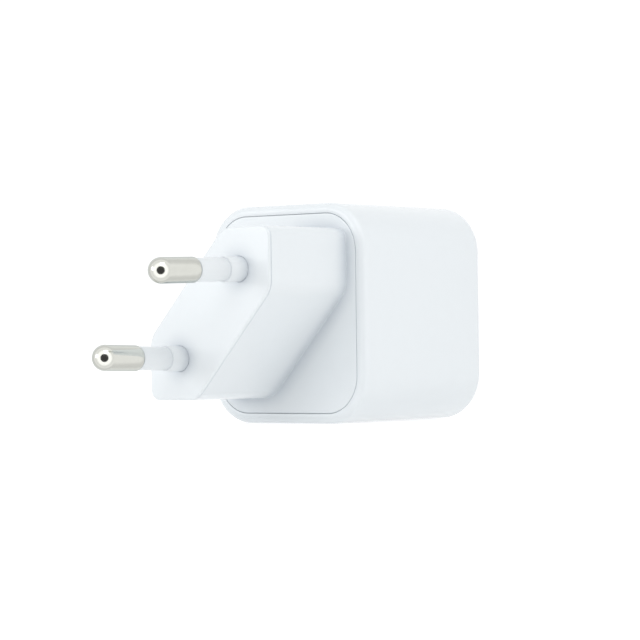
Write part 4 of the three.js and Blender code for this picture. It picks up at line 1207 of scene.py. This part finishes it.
def makeChip(name, plan):
    low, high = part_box(plan["node"])
    away, along = Vector(plan["away"]), Vector(plan["along"])
    across = along.cross(away)
    size = high - low
    width, length, height = [abs(direction.dot(size)) for direction in (across, along, away)]
    place = frameAt((low + high) / 2 - away * height / 2, across, away)
    reach, standoff = plan["reach"], plan["standoff"]
    body = width / 2 - reach
    waist = standoff + (height - standoff) * 0.5
    slope = 0.08 * (height - standoff)

    def outline(inset):
        corners = rectangleCorners(2 * (body - inset), length - 2 * inset, 0.12 * mm)
        return roundedOutline(corners, 3)

    levels = [(slope + 0.05 * mm, standoff), (slope, standoff + 0.05 * mm), (0, waist - 0.04 * mm),
              (0, waist + 0.04 * mm), (slope, height - 0.05 * mm), (slope + 0.05 * mm, height)]
    rings = [[place @ Vector((p.x, p.y, z)) for p in outline(inset)] for inset, z in levels]
    parts = [(loftMesh(rings), chipEpoxy)]
    mark = [(0, 0), (0.22 * mm, 0), (0.22 * mm, 0.02 * mm), (0.16 * mm, 0.03 * mm), (0, 0.03 * mm)]
    corner = Vector((-body + slope + 0.6 * mm, length / 2 - slope - 0.6 * mm, height - 0.01 * mm))
    upright = place @ Matrix.Translation(corner) @ Matrix.Rotation(math.pi / 2, 4, "X")
    parts.append((roundMesh(mark, upright, 20), filmCase))
    if reach:
        path = [(body - 0.2 * mm, waist), (body + 0.2 * reach, waist),
                (body + 0.4 * reach, waist - 0.12 * mm), (body + 0.5 * reach, 0.2 * mm),
                (body + 0.6 * reach, 0.08 * mm), (width / 2, 0.08 * mm)]
        leg = stripMesh(path, plan["legWidth"], 0.15 * mm)
    else:
        half = plan["legWidth"] / 2
        low, high = (body - 0.45 * mm, -half, -0.04 * mm), (body - 0.02 * mm, half, 0.06 * mm)
        leg = boxMesh(low, high, 0.02 * mm)
    values = {"Count": plan["legs"], "Pitch": plan["pitch"], "Both Sides": 1.0}
    legs = grownMesh(rowTree, tinnedMetal, values, leg)
    legs.transform(place)
    parts.append((legs, tinnedMetal))
    return joinPieces(name, parts, [plan["node"]])


for name, plan in chipPlans.items():
    makeChip(name, plan)
print("chips made")


# ---- Solder joints: a small cone round every lead where it leaves its board ----

solderSizes = {
    "radius": 0.62 * mm,
    "top": 0.36 * mm,
    "height": 0.38 * mm,
    "filmInset": 3.0 * mm,  # how much closer the film capacitor's leads are than its ends
    "fusePitch": 2.0 * mm,
    "discPitch": 3.4 * mm,
    "railInset": 0.65 * mm,  # from the bobbin's sides to its two rows of pins
    "railPitch": 3.4 * mm,
}


def makeSolder(name, board, away, places):
    # away is the direction that the board's soldered face looks in
    low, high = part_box(board)
    away = Vector(away)
    axis = max(range(3), key=lambda i: abs(away[i]))
    face = (high if away[axis] > 0 else low)[axis]
    s = solderSizes
    across = Vector((0, 0, 1)) if axis != 2 else Vector((1, 0, 0))
    place = frameAt(Vector((0, 0, 0)), across, away)
    seed = bpy.data.meshes.new("places")
    points = []
    for point in places:
        point = Vector(point)
        point[axis] = face
        points.append(place.inverted() @ point)
    seed.from_pydata(points, [], [])
    values = {"Radius": s["radius"], "Top": s["top"], "Height": s["height"]}
    dots = grownMesh(dotTree, tinnedMetal, values, seed)
    dots.transform(place)
    return joinPieces(name, [(dots, tinnedMetal)])


def middleOf(node):
    low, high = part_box(node)
    return (low + high) / 2


def leadPlaces(node, direction, pitch):
    # where the two leads of a piece go through its board
    return [middleOf(node) + Vector(direction) * side * pitch / 2 for side in (-1, 1)]


chokeX, chokeZ = chokeSizes["leadX"], chokeSizes["leadZ"]
filmLow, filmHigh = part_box("filter_capacitor")
inputPlaces = [chokeCentre + Vector((x * chokeX, 0, z * chokeZ)) for x in (-1, 1) for z in (-1, 1)]
inputPlaces += leadPlaces("filter_capacitor", (0, 0, 1), filmHigh.z - filmLow.z - solderSizes["filmInset"])
inputPlaces += leadPlaces("fuse", (0, 0, 1), solderSizes["fusePitch"])
mainPlaces = leadPlaces("safety_capacitor", (0, 0, 1), solderSizes["discPitch"])
for end in ("front", "rear"):
    mainPlaces += leadPlaces("bulk_capacitor_" + end, (0, 0, 1), canSizes["bulk"]["pitch"])
bobbinLow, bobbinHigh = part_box("transformer_bobbin")
railY = (bobbinHigh.y - bobbinLow.y) / 2 - solderSizes["railInset"]
for row in (-1, 0, 1):
    offsets = [Vector((0, side * railY, row * solderSizes["railPitch"])) for side in (-1, 1)]
    mainPlaces += [middleOf("transformer_bobbin") + offset for offset in offsets]
portPlaces = []
for end in ("near", "far"):
    portPlaces += leadPlaces("output_capacitor_" + end, (1, 0, 0), canSizes["output"]["pitch"])
makeSolder("inputSolder", "input_board", (0, -1, 0), inputPlaces)
makeSolder("mainSolder", "main_board", (-1, 0, 0), mainPlaces)
makeSolder("portSolder", "port_board", (0, 0, 1), portPlaces)
print("solder made")


# ---- Floor and light ----

studio = {"floorSize": 6.0, "floorGlow": 0.6, "floorPaper": 0.55}
# Softboxes: where they stand, their width and height, and their power
softboxes = {
    "topLight": ((0.6, -0.35, 0.95), (0.7, 0.7), 2.34),
    "leftLight": ((-0.62, -0.9, 0.25), (0.4, 0.4), 1.7),
    "lensLight": ((0.386, -0.46, 0.02), (0.75, 0.75), 0.8),
}
# Brightness of the white tent by direction: from straight behind the charger (0) to straight at the lens (1)
tentShades = [(0.0, 1.11), (0.12, 1.11), (0.24, 0.82), (0.34, 0.84), (0.41, 1.05), (0.48, 1.0), (0.6, 0.95),
              (0.76, 1.43), (0.895, 1.4), (0.91, 0.06), (1.0, 0.06)]


def makeFloor():
    bm = bmesh.new()
    bmesh.ops.create_grid(bm, x_segments=2, y_segments=2, size=studio["floorSize"] / 2)
    mesh = bpy.data.meshes.new("floor")
    bm.to_mesh(mesh)
    bm.free()
    floor = bpy.data.objects.new("floor", mesh)
    floor.location.z = bodyLow.z - 0.02 * mm
    material, tree, shader = startMaterial("lightTable")
    grain = noiseAt(tree, ownPlace(tree), 0.6 * mm, 3.0)
    paper = (studio["floorPaper"],) * 3
    feed(tree, shader, {
        "Base Color": mixColours(tree, grain, paper, tinted(paper, 1.03)),
        "Roughness": 0.9,
        "Specular IOR Level": 0.1,
        "Emission Color": (1, 1, 1, 1),
        "Emission Strength": studio["floorGlow"],
    })
    mesh.materials.append(material)
    bpy.context.scene.collection.objects.link(floor)
    floor.visible_glossy = False  # the plated pins mirror the tent all the way round


def makeWorld():
    # a white tent, dark round the lens and a little darker off to the sides; the backdrop itself stays white
    world = bpy.data.worlds.new("tent")
    world.use_nodes = True
    bpy.context.scene.world = world
    tree = world.node_tree
    background = tree.nodes["Background"]
    toLens = camera.matrix_world.to_3x3() @ Vector((0, 0, 1))
    direction = addNode(tree, "ShaderNodeTexCoord").outputs["Generated"]
    facing = addNode(tree, "ShaderNodeVectorMath", {0: direction, 1: toLens}, operation="DOT_PRODUCT")
    inputs = {"Value": facing.outputs["Value"], "From Min": -1.0}
    along = addNode(tree, "ShaderNodeMapRange", inputs).outputs["Result"]
    ramp = addNode(tree, "ShaderNodeValToRGB", {"Fac": along})
    stops = ramp.color_ramp.elements
    while len(stops) < len(tentShades):
        stops.new(0.5)
    for stop, (position, shade) in zip(stops, tentShades):
        stop.position = position
        stop.color = (shade / 2, shade / 2, shade / 2, 1)
    doubled = calculate(tree, "MULTIPLY", ramp.outputs["Color"], 2.0)
    seen = addNode(tree, "ShaderNodeLightPath").outputs["Is Camera Ray"]
    strength = calculate(tree, "MAXIMUM", doubled, seen)
    feed(tree, background, {"Strength": strength, "Color": (1, 1, 1, 1)})


def makeSoftbox(name, place, aim, size, power):
    data = bpy.data.lights.new(name, "AREA")
    data.shape = "RECTANGLE"
    data.size, data.size_y = size
    data.energy = power
    light = bpy.data.objects.new(name, data)
    light.location = place
    light.rotation_euler = (Vector(aim) - Vector(place)).to_track_quat("-Z", "Y").to_euler()
    light.visible_glossy = name != "lensLight"  # the pins show the dark lens there instead
    bpy.context.scene.collection.objects.link(light)


makeFloor()
makeWorld()
bodyMiddle = ((bodyLow + bodyHigh) / 2)[:]
for name, (place, size, power) in softboxes.items():
    makeSoftbox(name, place, bodyMiddle, size, power)
bpy.context.scene.view_settings.view_transform = "Standard"
print("studio made")
